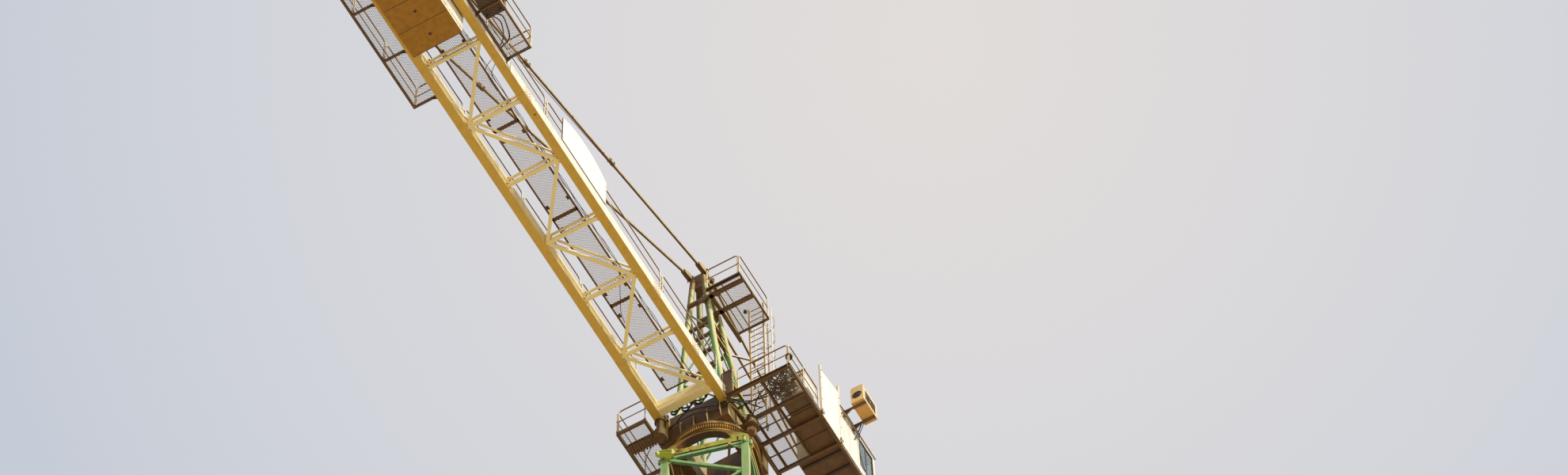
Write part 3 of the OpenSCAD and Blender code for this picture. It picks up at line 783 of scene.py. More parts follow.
# Turntable: a round flange with motor ears and a frame of deep box beams, recessed at the sides
tableSet = {"low": 9.9105, "disc": (0.63, 0.06), "bore": 0.48, "half": 0.56, "side": 0.53, "beam": 0.2, "recess": 0.06,
            "shelf": (0.16, 0.58), "top": 0.68, "ear": (0.52, 0.825, 0.11, 0.032, 0.062), "turns": (-106.5, 0.0),
            "jib": (0.75, 0.35, 0.5, 0.58), "circle": 0.60, "bolts": 40, "lug": 0.09}


def makeTableForm(s):
    bm = bmesh.new()
    z, half, side, beam = s["low"], s["half"], s["side"], s["beam"]
    radius, disc = s["disc"]
    addAnnulus(bm, (0, 0), circleOf(radius, 96), s["bore"], z, z + disc)
    for angle in s["turns"]:
        turn = Matrix.Rotation(math.radians(angle), 3, "Z")
        x0, x1, wide, z0, z1 = s["ear"]
        ear = [(x0, -wide), (x1 - 0.05, -wide), (x1, -wide + 0.05), (x1, wide - 0.05), (x1 - 0.05, wide), (x0, wide)]
        addTurned(bm, turn, [(x, y, z + z0) for x, y in ear], (0, 0, z1 - z0))
        for y in (-wide + 0.01, wide - 0.02):
            web = [(x0 + x, y, z + z1 + up) for x, up in ((0, 0), (0.2, 0), (0.04, 0.12), (0, 0.12))]
            addTurned(bm, turn, web, (0, 0.01, 0))
    for out in (1, -1):
        addBox(bm, (out * half, -side, z + disc - 0.001), (out * (half - beam), side, z + s["top"]))
        inner, recessed, edge = out * (side - beam), out * (side - s["recess"]), out * side
        shelf, lintel = s["shelf"]
        addBox(bm, (-half + beam, inner, z + disc - 0.001), (half - beam, recessed, z + s["top"]))
        for low, high in ((disc - 0.001, shelf), (lintel, s["top"])):
            addBox(bm, (-half + beam, recessed, z + low), (half - beam, edge, z + high))
        reach, y, low, high = s["jib"]
        addBox(bm, (half, out * y - 0.03, z + low), (reach, out * y + 0.03, z + high))
    makePiece("tableForm", bm, "brown_paint", "upper", ["turntable"], 0.003)


# Slewing motors with their pinions
driveSet = {"low": 9.9105, "turns": (-106.5, 0.0), "radius": 0.715, "seat": 0.0623, "teeth": 14, "pinion": 0.07,
            "tooth": 0.022, "flange": 9.9728, "fins": 22}


def makeDriveForm(s):
    bm = bmesh.new()
    for angle in s["turns"]:
        turn = Matrix.Rotation(math.radians(angle), 3, "Z")
        place = turn @ Vector((s["radius"], 0, s["low"]))
        up = Vector((0, 0, 1))
        z = s["seat"]
        for low, high, size in ((z, z + 0.02, 0.196), (z + 0.019, z + 0.15, 0.15), (z + 0.149, z + 0.259, 0.112),
                                (-0.012, z + 0.02, 0.056)):
            addRound(bm, place + up * low, place + up * high, size, 48)
        box = [(-0.03, 0.04), (0.03, 0.04), (0.03, 0.09), (-0.03, 0.09)]
        addTurned(bm, turn, [(s["radius"] + x, y, s["low"] + z + 0.19) for x, y in box], (0, 0, 0.05))
        outline = [turn @ Vector((x, y, 0)) for x, y in gearOutline(s["teeth"], s["pinion"], s["tooth"])]
        addSkin(bm, [[place + p + up * level for p in outline] for level in (-0.09, -0.012)])
    makePiece("driveForm", bm, "brown_paint", "upper", ["slewing_drive"], 0.002)


makeSupportForm(supportFormSet)
makeRingForm(ringSet)
makeTableForm(tableSet)
makeDriveForm(driveSet)


# Girders as box beams, the deep end beam, and two layers of braces between them
frameSet = {"x": (-10.1, -0.5603), "web": 0.4625, "half": 0.0625, "wall": 0.01, "inner": 0.3997, "end": -0.825,
            "endWide": 0.055, "bay": 1.015, "bays": 6, "layers": ((0.037, 0.05), (0.213, 0.03)), "plate": 0.006,
            "bolt": 0.012, "joints": {1: (-1.72, -5.9), -1: (-1.44, -2.49, -5.9)}, "cleat": 0.055}


def makeFrame(s):
    for side, name in ((1, "girder_left"), (-1, "girder_right")):
        bm = bmesh.new()
        y = side * s["web"]
        addHollow(bm, (s["x"][0], y - s["half"], deck), (s["x"][1], y + s["half"], girderTop), "x", s["wall"])
        makePiece(name + "Form", bm, "inner_cream" if side > 0 else "cream_paint", "upper", [name], 0.002)
    bm = bmesh.new()
    inner = s["inner"]
    addHollow(bm, (s["end"] - s["endWide"], -inner, deck), (s["end"] + s["endWide"], inner, girderTop), "y", s["wall"])
    for z, size in s["layers"]:
        for i in range(1, s["bays"] + 1):
            x = s["end"] - i * s["bay"]
            addBar(bm, (x, -inner, deck + z), (x, inner, deck + z), size)
        for i in range(s["bays"]):
            side = 1 if i % 2 == 0 else -1
            a = s["end"] - i * s["bay"] - (0.06 if i == 0 else 0.02)
            b = s["end"] - (i + 1) * s["bay"] + 0.02
            addBar(bm, (a, -side * (inner - 0.03), deck + z), (b, side * (inner - 0.03), deck + z), size, size - 0.004)
    makePiece("bracingForm", bm, "brace_cream", "upper", ["counter_jib_bracing"], 0.0015)


makeFrame(frameSet)


# Rails on the girders, on the cab platform and on the top platform: each run's start, end and number of posts
railRunSet = {
    "starts": ((-1.25, 0.505), (-0.8, -0.505)), "panels": 4, "step": 1.54, "insets": (0.02, 0.04), "z": 0.2403,
    "feet": (0.02, 1.5),
    "runs": {"cab_platform_rail": [((-0.625, -1.5253, 0.0013), (0.21, -1.5253, 0.0013), 3),
                                   ((-0.625, -1.505, 0.0013), (-0.625, -0.725, 0.0013), 2)],
             "top_platform_rail": [((-0.59, -0.77, 3.3393), (0.25, -0.77, 3.3393), 2),
                                   ((-0.59, -0.7497, 3.3393), (-0.59, -0.24, 3.3393), 2)]},
}


def makeRails(s):
    step, z = s["step"], s["z"]
    near, far = s["insets"]
    girders = [((x - (i + 1) * step + near, y, z), (x - i * step - far, y, z), 2)
               for x, y in s["starts"] for i in range(s["panels"])]
    lift = Vector((0, 0, deck))
    for name, lines in {"walkway_rails": girders, **s["runs"]}.items():
        bm = bmesh.new()
        for start, end, posts in lines:
            addRail(bm, Vector(start) + lift, Vector(end) + lift, posts)
        makePiece(name + "Runs", bm, "rail_paint", "upper", [name])


makeRails(railRunSet)


# Name board with a curved upper edge, bare on both sides
boardFormSet = {"x": -5.02, "length": 1.14, "y": -0.5153, "thick": 0.012, "z": 0.26, "drop": -0.18, "radius": 1.0}


def makeBoardForm(s):
    bm = bmesh.new()
    half = s["length"] / 2
    outline = [(0, 0), (s["length"], 0)]
    for i in range(25):
        u = half - half * 2 * i / 24
        outline.append((u + half, s["drop"] + math.sqrt(s["radius"] ** 2 - u * u)))
    addPlate(bm, [(s["x"] + u, s["y"], deck + s["z"] + v) for u, v in outline], (0, -s["thick"], 0))
    makePiece("boardForm", bm, "board_white", "upper", ["name_board"])


makeBoardForm(boardFormSet)


# Tie bars with a fork and pin at the head and a lug at the far end
tieFormSet = {"fork": [(0.03, -0.034), (0.03, 0.034), (0, 0.052), (-0.08, 0.06), (-0.175, 0.046), (-0.25, 0.02),
                       (-0.25, -0.02), (-0.175, -0.046), (-0.08, -0.06), (0, -0.052)],
              "tongue": [(-0.08, 0.055), (-0.175, 0.044), (-0.25, 0.02), (-0.25, -0.02), (-0.175, -0.044),
                         (-0.08, -0.055)],
              "slot": 0.0153, "cheek": 0.033, "pin": 0.036, "bar": (0.03, 0.04), "reach": 0.19,
              "ties": {"rear_ties": [((-8.02, y * frameSet["web"], 0.3), (-0.433, y * 0.12, 4.21)) for y in (-1, 1)],
                       "jib_ties": [((9.0, 0, 0.79), (-0.257, -0.12, 4.21)), ((18.0, 0, 0.79), (-0.257, 0.12, 4.21))]}}


def makeTieForms(s):
    for name, bars in s["ties"].items():
        bm = bmesh.new()
        for low, high in bars:
            low, high = Vector(low) + Vector((0, 0, deck)), Vector(high) + Vector((0, 0, deck))
            ahead = (high - low).normalized()
            flat = Vector((ahead.x, 0, ahead.z)).normalized()
            up = Vector((-flat.z, 0, flat.x)) * (1 if flat.x > 0 else -1)
            fork, tongue = ([high + flat * u + up * v for u, v in s[key]] for key in ("fork", "tongue"))
            slot, pin = (Vector((0, wide, 0)) for wide in (s["slot"], s["cheek"] + 0.007))
            for out in (1, -1):
                addPlate(bm, [p + out * slot for p in fork], (0, out * (s["cheek"] - s["slot"]), 0))
            addPlate(bm, [p - slot for p in tongue], (0, 2 * s["slot"], 0))
            addRound(bm, high - pin, high + pin, s["pin"], 32)
            addBar(bm, low, high - flat * s["reach"], *s["bar"])
            foot = low.z - 0.0597
            addBox(bm, (low.x - 0.06, low.y - 0.02, foot), (low.x + 0.06, low.y + 0.02, foot + 0.11))
        makePiece(name + "Form", bm, "brown_paint", "upper", [name], 0.001)


makeTieForms(tieFormSet)


# Tower head: four leaning legs with frames of cross beams, and the block with lugs and sheave on top
headSet = {"foot": 0.39, "tip": 0.075, "lean": -0.345, "low": 0.24, "high": 4.25, "frames": (1.4, 2.375, 2.7),
           "levels": (0.3, 1.4, 2.375, 3.25), "braceSize": 0.028, "gusset": 0.07, "leg": 0.092, "cap": 3.83, "end": 4.1,
           "beam": 0.05, "lug": 0.088, "tie": 0.12, "pinZ": 4.21,
           "sheave": [(-0.07, -0.105), (0.07, -0.105), (0.036, 0.0), (0.03, 0.03), (0, 0.045), (-0.03, 0.03),
                      (-0.036, 0.0)]}


def headPoint(sx, sy, z, s=headSet):
    k = (z - s["low"]) / (s["high"] - s["low"])
    half = s["foot"] + (s["tip"] - s["foot"]) * k
    return Vector((s["lean"] * k + sx * half, sy * half, deck + z))


def makeHeadForm(s):
    legs, beams, block = bmesh.new(), bmesh.new(), bmesh.new()
    for sx, sy in corners:
        addRound(legs, headPoint(sx, sy, s["low"] + 0.01), headPoint(sx, sy, s["cap"]), s["leg"], 24)
        foot = headPoint(sx, sy, s["low"])
        addBox(legs, foot - Vector((0.07, 0.07, 0)), foot + Vector((0.07, 0.07, 0.02)))
        addRound(block, headPoint(sx, sy, s["cap"]), headPoint(sx, sy, s["end"]), s["leg"], 24)
    for z in s["frames"]:
        for a, b in zip(corners, corners[1:] + corners[:1]):
            addBar(beams, headPoint(*a, z), headPoint(*b, z), s["beam"])
    x, tip = s["lean"], s["tip"]
    addBox(block, (x - tip, -tip, deck + 3.86), (x + tip, tip, deck + s["high"] - 0.01))
    addBox(block, (x - 0.028, -0.13, deck + 4.166), (x + 0.028, 0.13, deck + 4.244))
    lugs = [p for out in (1, -1)
            for p in arcOf(x + out * s["lug"], deck + s["pinZ"], 0.05, -out * math.pi / 2, math.pi, 12)]
    for side in (1, -1):
        addSheet(block, "y", side * s["tie"] - 0.015, lugs, 0.03)
    wheel = Vector((x + 0.06, -0.035, deck + s["high"] + 0.09))
    for y in (-0.06, -0.02):
        addSheet(block, "y", y, [(wheel.x + u, wheel.z + v) for u, v in s["sheave"]], 0.01)
    across = Vector((0, 1, 0))
    addRound(block, wheel - across * 0.013, wheel + across * 0.013, 0.15, 48)
    for out in (1, -1):
        addRound(block, wheel + across * out * 0.009, wheel + across * out * 0.013, 0.18, 48)
    addRound(block, wheel - across * 0.03, wheel + across * 0.03, 0.028, 24)
    makePiece("headLegs", legs, "leg_paint", "upper", ["head_legs"])
    makePiece("headBeams", beams, "head_brown_in_shade", "upper", ["head_legs"], 0.002)
    makePiece("headBlock", block, "head_brown_in_shade", "upper", ["head_block"], 0.002)


makeHeadForm(headSet)


# Ladder with its round cage
ladderFormSet = {"x": 0.2773, "y": -0.57, "half": 0.115, "low": 0.2403, "high": 3.86, "rung": 0.15, "cage": 0.19,
                 "shift": 0.1444, "hoop": 1.3403, "step": 0.45}


def makeLadderForm(s):
    bm = bmesh.new()
    x, y = s["x"], s["y"]
    for side in (1, -1):
        addBar(bm, (x, y + side * s["half"], deck + s["low"]), (x, y + side * s["half"], deck + s["high"]), 0.024, 0.03)
    z = s["low"] + 0.1
    while z < s["high"]:
        addRound(bm, (x, y - s["half"], deck + z), (x, y + s["half"], deck + z), 0.014, 8)
        z += s["rung"]
    limit = math.acos(-s["shift"] / s["cage"])
    z = s["hoop"]
    while z < s["high"]:
        for k in range(18):
            a, b = (-limit + 2 * limit * (k + e) / 18 for e in (0, 1))
            corner = [(x + s["shift"] + r * math.cos(t), y + r * math.sin(t), deck + z)
                      for t, r in ((a, s["cage"] - 0.006), (a, s["cage"]), (b, s["cage"]), (b, s["cage"] - 0.006))]
            addPlate(bm, corner, (0, 0, 0.02))
        z += s["step"]
    for angle in (-100, -60, 0, 60, 100):
        t = math.radians(angle)
        out, side = Vector((math.cos(t), math.sin(t), 0)), Vector((-math.sin(t), math.cos(t), 0)) * 0.01
        p = Vector((x + s["shift"], y, deck + s["hoop"])) + out * (s["cage"] - 0.007)
        rise = Vector((0, 0, s["high"] - s["hoop"]))
        addPlate(bm, [p - side, p + side, p + side + rise, p - side + rise], out * 0.006)
    makePiece("ladderForm", bm, "rail_paint", "upper", ["head_ladder"])


makeLadderForm(ladderFormSet)


# Cabinet on the cab platform, with two doors and a lid
cabinetSet = {"x": (-0.125, 0.175), "y": (-1.5, -1.12), "z": 0.0013, "height": 0.62}


def makeCabinetForm(s):
    bm = bmesh.new()
    (x0, x1), (y0, y1) = s["x"], s["y"]
    z, high = deck + s["z"], s["height"]
    addBox(bm, (x0 + 0.012, y0 + 0.012, z), (x1 - 0.012, y1 - 0.012, z + 0.041))
    addBox(bm, (x0, y0, z + 0.04), (x1, y1, z + high - 0.02))
    for y in (y0 + 0.012, y0 + 0.194):
        addBox(bm, (x0 - 0.006, y, z + 0.06), (x0 + 0.001, y + 0.174, z + high - 0.05))
    addBox(bm, (x0 - 0.018, y0 - 0.012, z + high - 0.021), (x1 + 0.018, y1 + 0.012, z + high))
    makePiece("cabinetForm", bm, "white_paint", "upper", ["electrical_cabinet"], 0.002)


makeCabinetForm(cabinetSet)


# Screen sheet with its sloped upper edge, between two posts
screenSet = {"x": (0.235, 0.795), "y": -1.5406, "post": 0.03, "low": -0.1, "high": 1.285, "slope": 0.11}


def makeScreenForm(s):
    bm, posts = bmesh.new(), bmesh.new()
    (x0, x1), y, post = s["x"], s["y"], s["post"]
    addBox(posts, (x0, y - post, deck), (x0 + post, y, deck + s["high"] - 0.035))
    addBox(posts, (x1 - post, y - post, deck + s["low"] + 0.01), (x1, y, deck + s["high"] + 0.16))
    a, b, low, high = x0 + 0.029, x1 - 0.029, deck + s["low"], deck + s["high"]
    addSheet(bm, "y", y - 0.012, [(a, low), (b, low), (b, high), (a, high - s["slope"])], -0.008)
    makePiece("screenForm", bm, "board_white", "upper", ["screen_panel"])
    makePiece("screenPosts", posts, "white_paint", "upper", ["screen_panel"], 0.002)


makeScreenForm(screenSet)


# Edge panel at the cab platform's inner corner
edgeFormSet = {"x": (-0.639, -0.611), "outline": [(-0.65, 0.0013), (-0.5323, 0.0013), (-0.5323, 0.2403),
                                                  (-0.465, 0.2403), (-0.465, 0.585), (-0.505, 0.625), (-0.65, 0.625)]}


def makeEdgeForm(s):
    bm = bmesh.new()
    addSheet(bm, "x", s["x"][0], [(u, deck + v) for u, v in s["outline"]], s["x"][1] - s["x"][0])
    makePiece("edgeForm", bm, "brown_paint", "upper", (), 0.001)


makeEdgeForm(edgeFormSet)


# Air conditioner: a housing with rounded shoulders on two arms
coolerFormSet = {"x": (0.90, 1.31), "y": -1.7903, "half": 0.1, "z": 1.026, "height": 0.4, "round": 0.045, "arm": 0.028,
                 "wall": -1.5306, "outer": -1.8903, "fan": (0.42, 0.076)}


def makeCoolerForm(s):
    bm, arms, dark = bmesh.new(), bmesh.new(), bmesh.new()
    half, r, high = s["half"], s["round"], s["height"]
    outline = [(-half, 0), (half, 0)]
    for centre, start in ((half - r, 0), (-half + r, math.pi / 2)):
        outline += arcOf(centre, high - r, r, start, math.pi / 2, 8)
    z = deck + s["z"]
    x0, x1 = s["x"]
    addSheet(bm, "x", x0, [(s["y"] + u, z + v) for u, v in outline], x1 - x0)
    # A dark disc over the fan opening and dark strips behind the outer face's louvres: painted shade of the openings
    share, radius = s["fan"]
    centre = Vector((x0, s["y"], z + high * share))
    addRound(dark, centre - Vector((0.002, 0, 0)), centre, radius * 2, 40)
    for i in range(8):
        addBox(dark, (x0 + 0.06, s["outer"] - 0.001, z + 0.061 + i * 0.032),
               (x1 - 0.06, s["outer"] + 0.004, z + 0.075 + i * 0.032))
    for x in (x0 + 0.05, x1 - 0.09):
        addBox(arms, (x, s["outer"], z - s["arm"] + 0.001), (x + s["arm"], s["wall"], z + 0.001))
    makePiece("coolerForm", bm, "cooler_cream", "upper", ["air_conditioner"], 0.002)
    makePiece("coolerArms", arms, "brown_paint", "upper", ["air_conditioner"], 0.001)
    makePiece("coolerPaintedShade", dark, "cable_rubber", "upper")


makeCoolerForm(coolerFormSet)
print("main forms made")


# Channel section with its web on the line from a to b, open to one side
def addChannel(bm, a, b, width, depth, thick, opening=1):
    w, h, t = width, depth, thick
    outline = [(0, 0), (w, 0), (w, t), (t, t), (t, h - t), (w, h - t), (w, h), (0, h)]
    if opening < 0:
        outline = [(-u, v) for u, v in outline][::-1]
    addProfile(bm, a, b, outline)


# Walkway between the girders: four framed panels
walkwaySet = {"panels": 4, "start": -0.96, "step": 1.54, "length": 1.536, "sides": (-0.1855, 0.2095), "z": 0.2283,
              "bar": 0.025, "thick": 0.005, "clip": 0.06}


def makeWalkway(s):
    bm, z = bmesh.new(), deck + s["z"]
    low, high = s["sides"]
    bar, thick = s["bar"], s["thick"]
    areas = []
    for i in range(s["panels"]):
        x0 = s["start"] - (i + 1) * s["step"]
        x1 = x0 + s["length"]
        addAngle(bm, (x0, low, z), (x1, low, z), bar, thick)
        addAngle(bm, (x0, high, z), (x1, high, z), bar, thick, -1)
        for x, turn in ((x0, -1), (x1, 1)):
            addAngle(bm, (x, low + thick, z), (x, high - thick, z), bar, thick, turn)
        for y in (low, high - s["clip"]):
            for x in (x0 + 0.16, x1 - 0.22):
                addBox(bm, (x, y, z + bar - 0.004), (x + s["clip"], y + s["clip"], z + bar))
                addBolt(bm, (x + s["clip"] / 2, y + s["clip"] / 2, z + bar - 0.004), (0, 0, -1), 0.008)
        areas.append((x0, low, x1, high))
    makePiece("walkwayFrame", bm, "brown_paint", replaced=["walkway"])
    meshFloor("walkwayMesh", areas, z + bar + 0.0015, "mesh_metal", replaced=["walkway"])


makeWalkway(walkwaySet)


# Side platforms by the counterweights, with one rail panel to each bay
sidePlatformSet = {"x": (-9.6, -6.45), "y": (0.5253, 0.91), "z": 0.12, "bar": 0.03, "depth": 0.04, "thick": 0.004,
                   "bays": 4, "railZ": 0.1663, "railGap": 0.018}


def makeSidePlatform(name, side, s):
    (x0, x1), (y0, y1) = s["x"], s["y"]
    z, bar = deck + s["z"], s["bar"]
    bm = bmesh.new()
    addChannel(bm, (x0, side * y0, z), (x1, side * y0, z), bar, s["depth"], s["thick"], side)
    addChannel(bm, (x0, side * y1, z), (x1, side * y1, z), bar, s["depth"], s["thick"], -side)
    step = (x1 - x0 - bar) / s["bays"]
    for i in range(s["bays"] + 1):
        x = x0 + i * step
        addBox(bm, (x, side * (y0 + s["thick"]), z + 0.002),
               (x + bar, side * (y1 - s["thick"]), z + s["depth"] - 0.002))
        addSheet(bm, "x", x + bar / 2, [(side * y0, z), (side * (y0 + 0.1), z), (side * y0, z - 0.09)], 0.006)
        addBolt(bm, (x + bar / 2 + 0.006, side * (y0 + 0.03), z - 0.03), (1, 0, 0), 0.009)
    makePiece(name + "Frame", bm, "brown_paint", replaced=[name])
    near, far = sorted((side * y0, side * y1))
    meshFloor(name + "Mesh", [(x0, near, x1, far)], z + s["depth"] + 0.0015, "mesh_metal", replaced=[name])
    rails = bmesh.new()
    base = deck + s["railZ"]
    gap = s["railGap"]
    run, y = (x1 - x0 - 0.03) / s["bays"], side * (y1 - 0.015)
    for i in range(s["bays"]):
        a = x0 + 0.015 + i * run + (gap if i else 0)
        b = x0 + 0.015 + (i + 1) * run - (gap if i < s["bays"] - 1 else 0)
        addRail(rails, (a, y, base), (b, y, base))
    for x in (x0 + 0.015, x1 - 0.015):
        addRail(rails, (x, side * (y0 + 0.015), base), (x, side * (y1 - 0.036), base))
    makePiece(name + "Rails", rails, "rail_paint", replaced=[name])


makeSidePlatform("side_platform_left", 1, sidePlatformSet)
makeSidePlatform("side_platform_right", -1, sidePlatformSet)


# Slewing platform on the left, hung below the girder from a round post
leftPlatformSet = {"x": (-0.99, 0.56), "y": (0.5303, 1.0), "z": -0.25, "bar": 0.04, "depth": 0.06, "thick": 0.005,
                   "crosses": (-0.99, -0.2, 0.52), "bearer": ((-0.76, 0.40, -0.40), (-0.64, 0.97, -0.309)),
                   "post": (-0.70, 0.4625), "postSize": 0.115}


def makeLeftPlatform(s):
    (x0, x1), (y0, y1) = s["x"], s["y"]
    z, bar, thick = deck + s["z"] - s["depth"], s["bar"], s["thick"]
    bm = bmesh.new()
    addChannel(bm, (x0, y0, z), (x1, y0, z), bar, s["depth"], thick)
    addChannel(bm, (x0, y1 - bar, z), (x1, y1 - bar, z), bar, s["depth"], thick)
    for x in s["crosses"]:
        addBox(bm, (x, y0 + thick, z + 0.003), (x + bar, y1 - bar, z + s["depth"] - 0.003))
    for x in (-0.6, 0.16):
        addBox(bm, (x, y0 + thick, z + 0.035), (x + 0.02, y1 - bar, z + s["depth"] - 0.003))
    (ax, ay, low), (bx, by, high) = s["bearer"]
    low, high = deck + low, deck + high
    addBox(bm, (ax, ay, low), (bx, by, high))
    for x in (ax - 0.012, bx):
        addSheet(bm, "x", x, [(0.53, low + 0.02), (0.94, high), (0.53, high)], 0.012)
    for i in range(9):
        y = 0.56 + i * 0.045
        addBox(bm, (ax - 0.018, y, low - 0.014), (bx + 0.018, y + 0.022, low))
    px, py = s["post"]
    for a, b, wider in ((low - 0.012, deck - 0.002, 0), (low - 0.03, low + 0.115, 0.07),
                        (deck - 0.03, deck - 0.004, 0.05)):
        addPost(bm, (px, py), a, b, s["postSize"] + wider, 28)
    for u, v in circleOf(0.07, 8):
        addBolt(bm, (px + u, py + v, low - 0.03), (0, 0, -1), 0.011)
    makePiece("leftPlatformFrame", bm, "brown_paint", replaced=["left_platform"], bevel=0.002)
    meshFloor("leftPlatformMesh", [(x0, y0, x1, y1)], deck + s["z"] + 0.0015, "mesh_metal", replaced=["left_platform"])
    rails = bmesh.new()
    base = deck + s["z"] + 0.008
    addRail(rails, (x0 + 0.015, y1 - 0.015, base), (x1 - 0.015, y1 - 0.015, base), 3)
    for x in (x0 + 0.015, x1 - 0.015):
        addRail(rails, (x, y0 + 0.015, base), (x, y1 - 0.036, base))
    makePiece("leftPlatformRails", rails, "rail_paint", replaced=["left_platform"])


makeLeftPlatform(leftPlatformSet)


# Cab platform: edge channels, cross beams, a mesh floor and one plated bay
cabPlatformSet = {"x": (-0.64, 1.86), "y": (-1.5403, -0.5303), "depth": 0.08, "bar": 0.04, "thick": 0.006,
                  "crosses": (-0.145, 0.28, 0.78), "longs": (-1.09, -0.715), "floorEnd": 0.82,
                  "plate": (0.125, 0.82)}


def makeCabPlatform(s):
    (x0, x1), (y0, y1) = s["x"], s["y"]
    z, bar, thick = deck - s["depth"], s["bar"], s["thick"]
    bm = bmesh.new()
    addChannel(bm, (x0, y0 + bar, z), (x1, y0 + bar, z), bar, s["depth"], thick, -1)
    addChannel(bm, (x0, y1, z), (x1, y1, z), bar, s["depth"], thick, -1)
    addChannel(bm, (x0 + bar, y0 + bar, z), (x0 + bar, y1 - bar, z), bar, s["depth"], thick)
    addChannel(bm, (x1 - bar, y0 + bar, z), (x1 - bar, y1 - bar, z), bar, s["depth"], thick, -1)
    for x in s["crosses"]:
        addChannel(bm, (x, y0 + bar, z + 0.01), (x, y1 - bar, z + 0.01), bar, s["depth"] - 0.014, thick, -1)
    for y in s["longs"]:
        addAngle(bm, (x0 + bar, y, z + 0.02), (s["floorEnd"], y, z + 0.02), 0.03, 0.004)
        addBox(bm, (x0 + bar, y, z + 0.02), (s["floorEnd"], y + 0.005, z + s["depth"] - 0.01))
    for x in (x0 + 0.26, s["crosses"][0] + 0.22, s["crosses"][1] + 0.26):
        addBox(bm, (x, y0 + bar, deck - 0.03), (x + 0.012, y1 - bar, deck - 0.008))
    makePiece("cabPlatformFrame", bm, "brown_paint", replaced=["cab_platform"])
    # Pale strips on the outer channel's flanges and pale ribs in it, in the rail paint: painted light on the sunny edge
    lit = bmesh.new()
    addBox(lit, (x0, y0 - 0.004, z), (x1, y0, z + 0.012))
    addBox(lit, (x0, y0 - 0.004, z + s["depth"] - 0.012), (x1, y0, z + s["depth"]))
    for i in range(9):
        x = x0 + 0.12 + i * 0.29
        addBox(lit, (x, y0 + 0.002, z + thick), (x + 0.006, y0 + bar - thick, z + s["depth"] - thick))
    makePiece("cabPlatformLitEdge", lit, "rail_paint", replaced=["cab_platform"])
    plate = bmesh.new()
    addBox(plate, (s["plate"][0], y0 + bar, deck - 0.014), (s["plate"][1], s["longs"][0], deck - 0.008))
    makePiece("cabPlatformPlate", plate, "brown_paint", replaced=["cab_platform"])
    meshFloor("cabPlatformMesh", [(x0, y0, s["floorEnd"], y1)], deck - 0.002, "mesh_metal", replaced=["cab_platform"])


makeCabPlatform(cabPlatformSet)


# Top platform on the tower head
topPlatformSet = {"x": (-0.605, 0.265), "y": (-0.785, -0.225), "z": 3.31, "beam": 0.056, "edge": 0.03, "thick": 0.005,
                  "bearers": (-0.5171, -0.221), "bearerEnd": 0.135, "long": 0.385, "drain": (-0.005, -0.54)}


def makeTopPlatform(s):
    (x0, x1), (y0, y1) = s["x"], s["y"]
    z, beam, edge, thick = deck + s["z"], s["beam"], s["edge"], s["thick"]
    bm = bmesh.new()
    for x in s["bearers"]:
        addChannel(bm, (x, y0, z - beam), (x, s["bearerEnd"], z - beam), beam, beam - 0.002, thick, -1)
    addChannel(bm, (x0 + 0.09, y1 - beam, z - beam), (s["long"], y1 - beam, z - beam), beam, beam - 0.004, thick)
    addAngle(bm, (x0, y0, z - 0.001), (x1, y0, z - 0.001), edge, thick)
    for x, turn in ((x0, -1), (x1, 1)):
        addAngle(bm, (x, y0, z - 0.05), (x, y1, z - 0.05), edge, thick, turn)
        addBox(bm, (x if turn < 0 else x - thick, y0, z - 0.05), (x + thick if turn < 0 else x, y1, z + 0.028))
    for y in (y1 - 0.15, y1 - 0.25):
        addBox(bm, (x0 + edge, y, z - 0.02), (x1 - edge, y + 0.014, z))
    for x in s["bearers"]:
        addSheet(bm, "x", x, [(-0.06, z - beam), (-0.2, z - beam), (-0.06, z - beam - 0.13)], 0.008)
        for y in (-0.09, -0.14):
            addBolt(bm, (x, y, z - beam - 0.03), (-1, 0, 0), 0.009)
    makePiece("topPlatformFrame", bm, "brown_paint", replaced=["top_platform"])
    meshFloor("topPlatformMesh", [(x0, y0, x1, y1)], z + 0.003, "mesh_metal", replaced=["top_platform"])
    lump = bmesh.new()
    addPost(lump, s["drain"], z - 0.03, z - 0.002, 0.06, 14)
    addPost(lump, s["drain"], z - 0.05, z - 0.03, 0.034, 12)
    makePiece("topPlatformDrain", lump, "dark_steel")


makeTopPlatform(topPlatformSet)
print("platforms made")


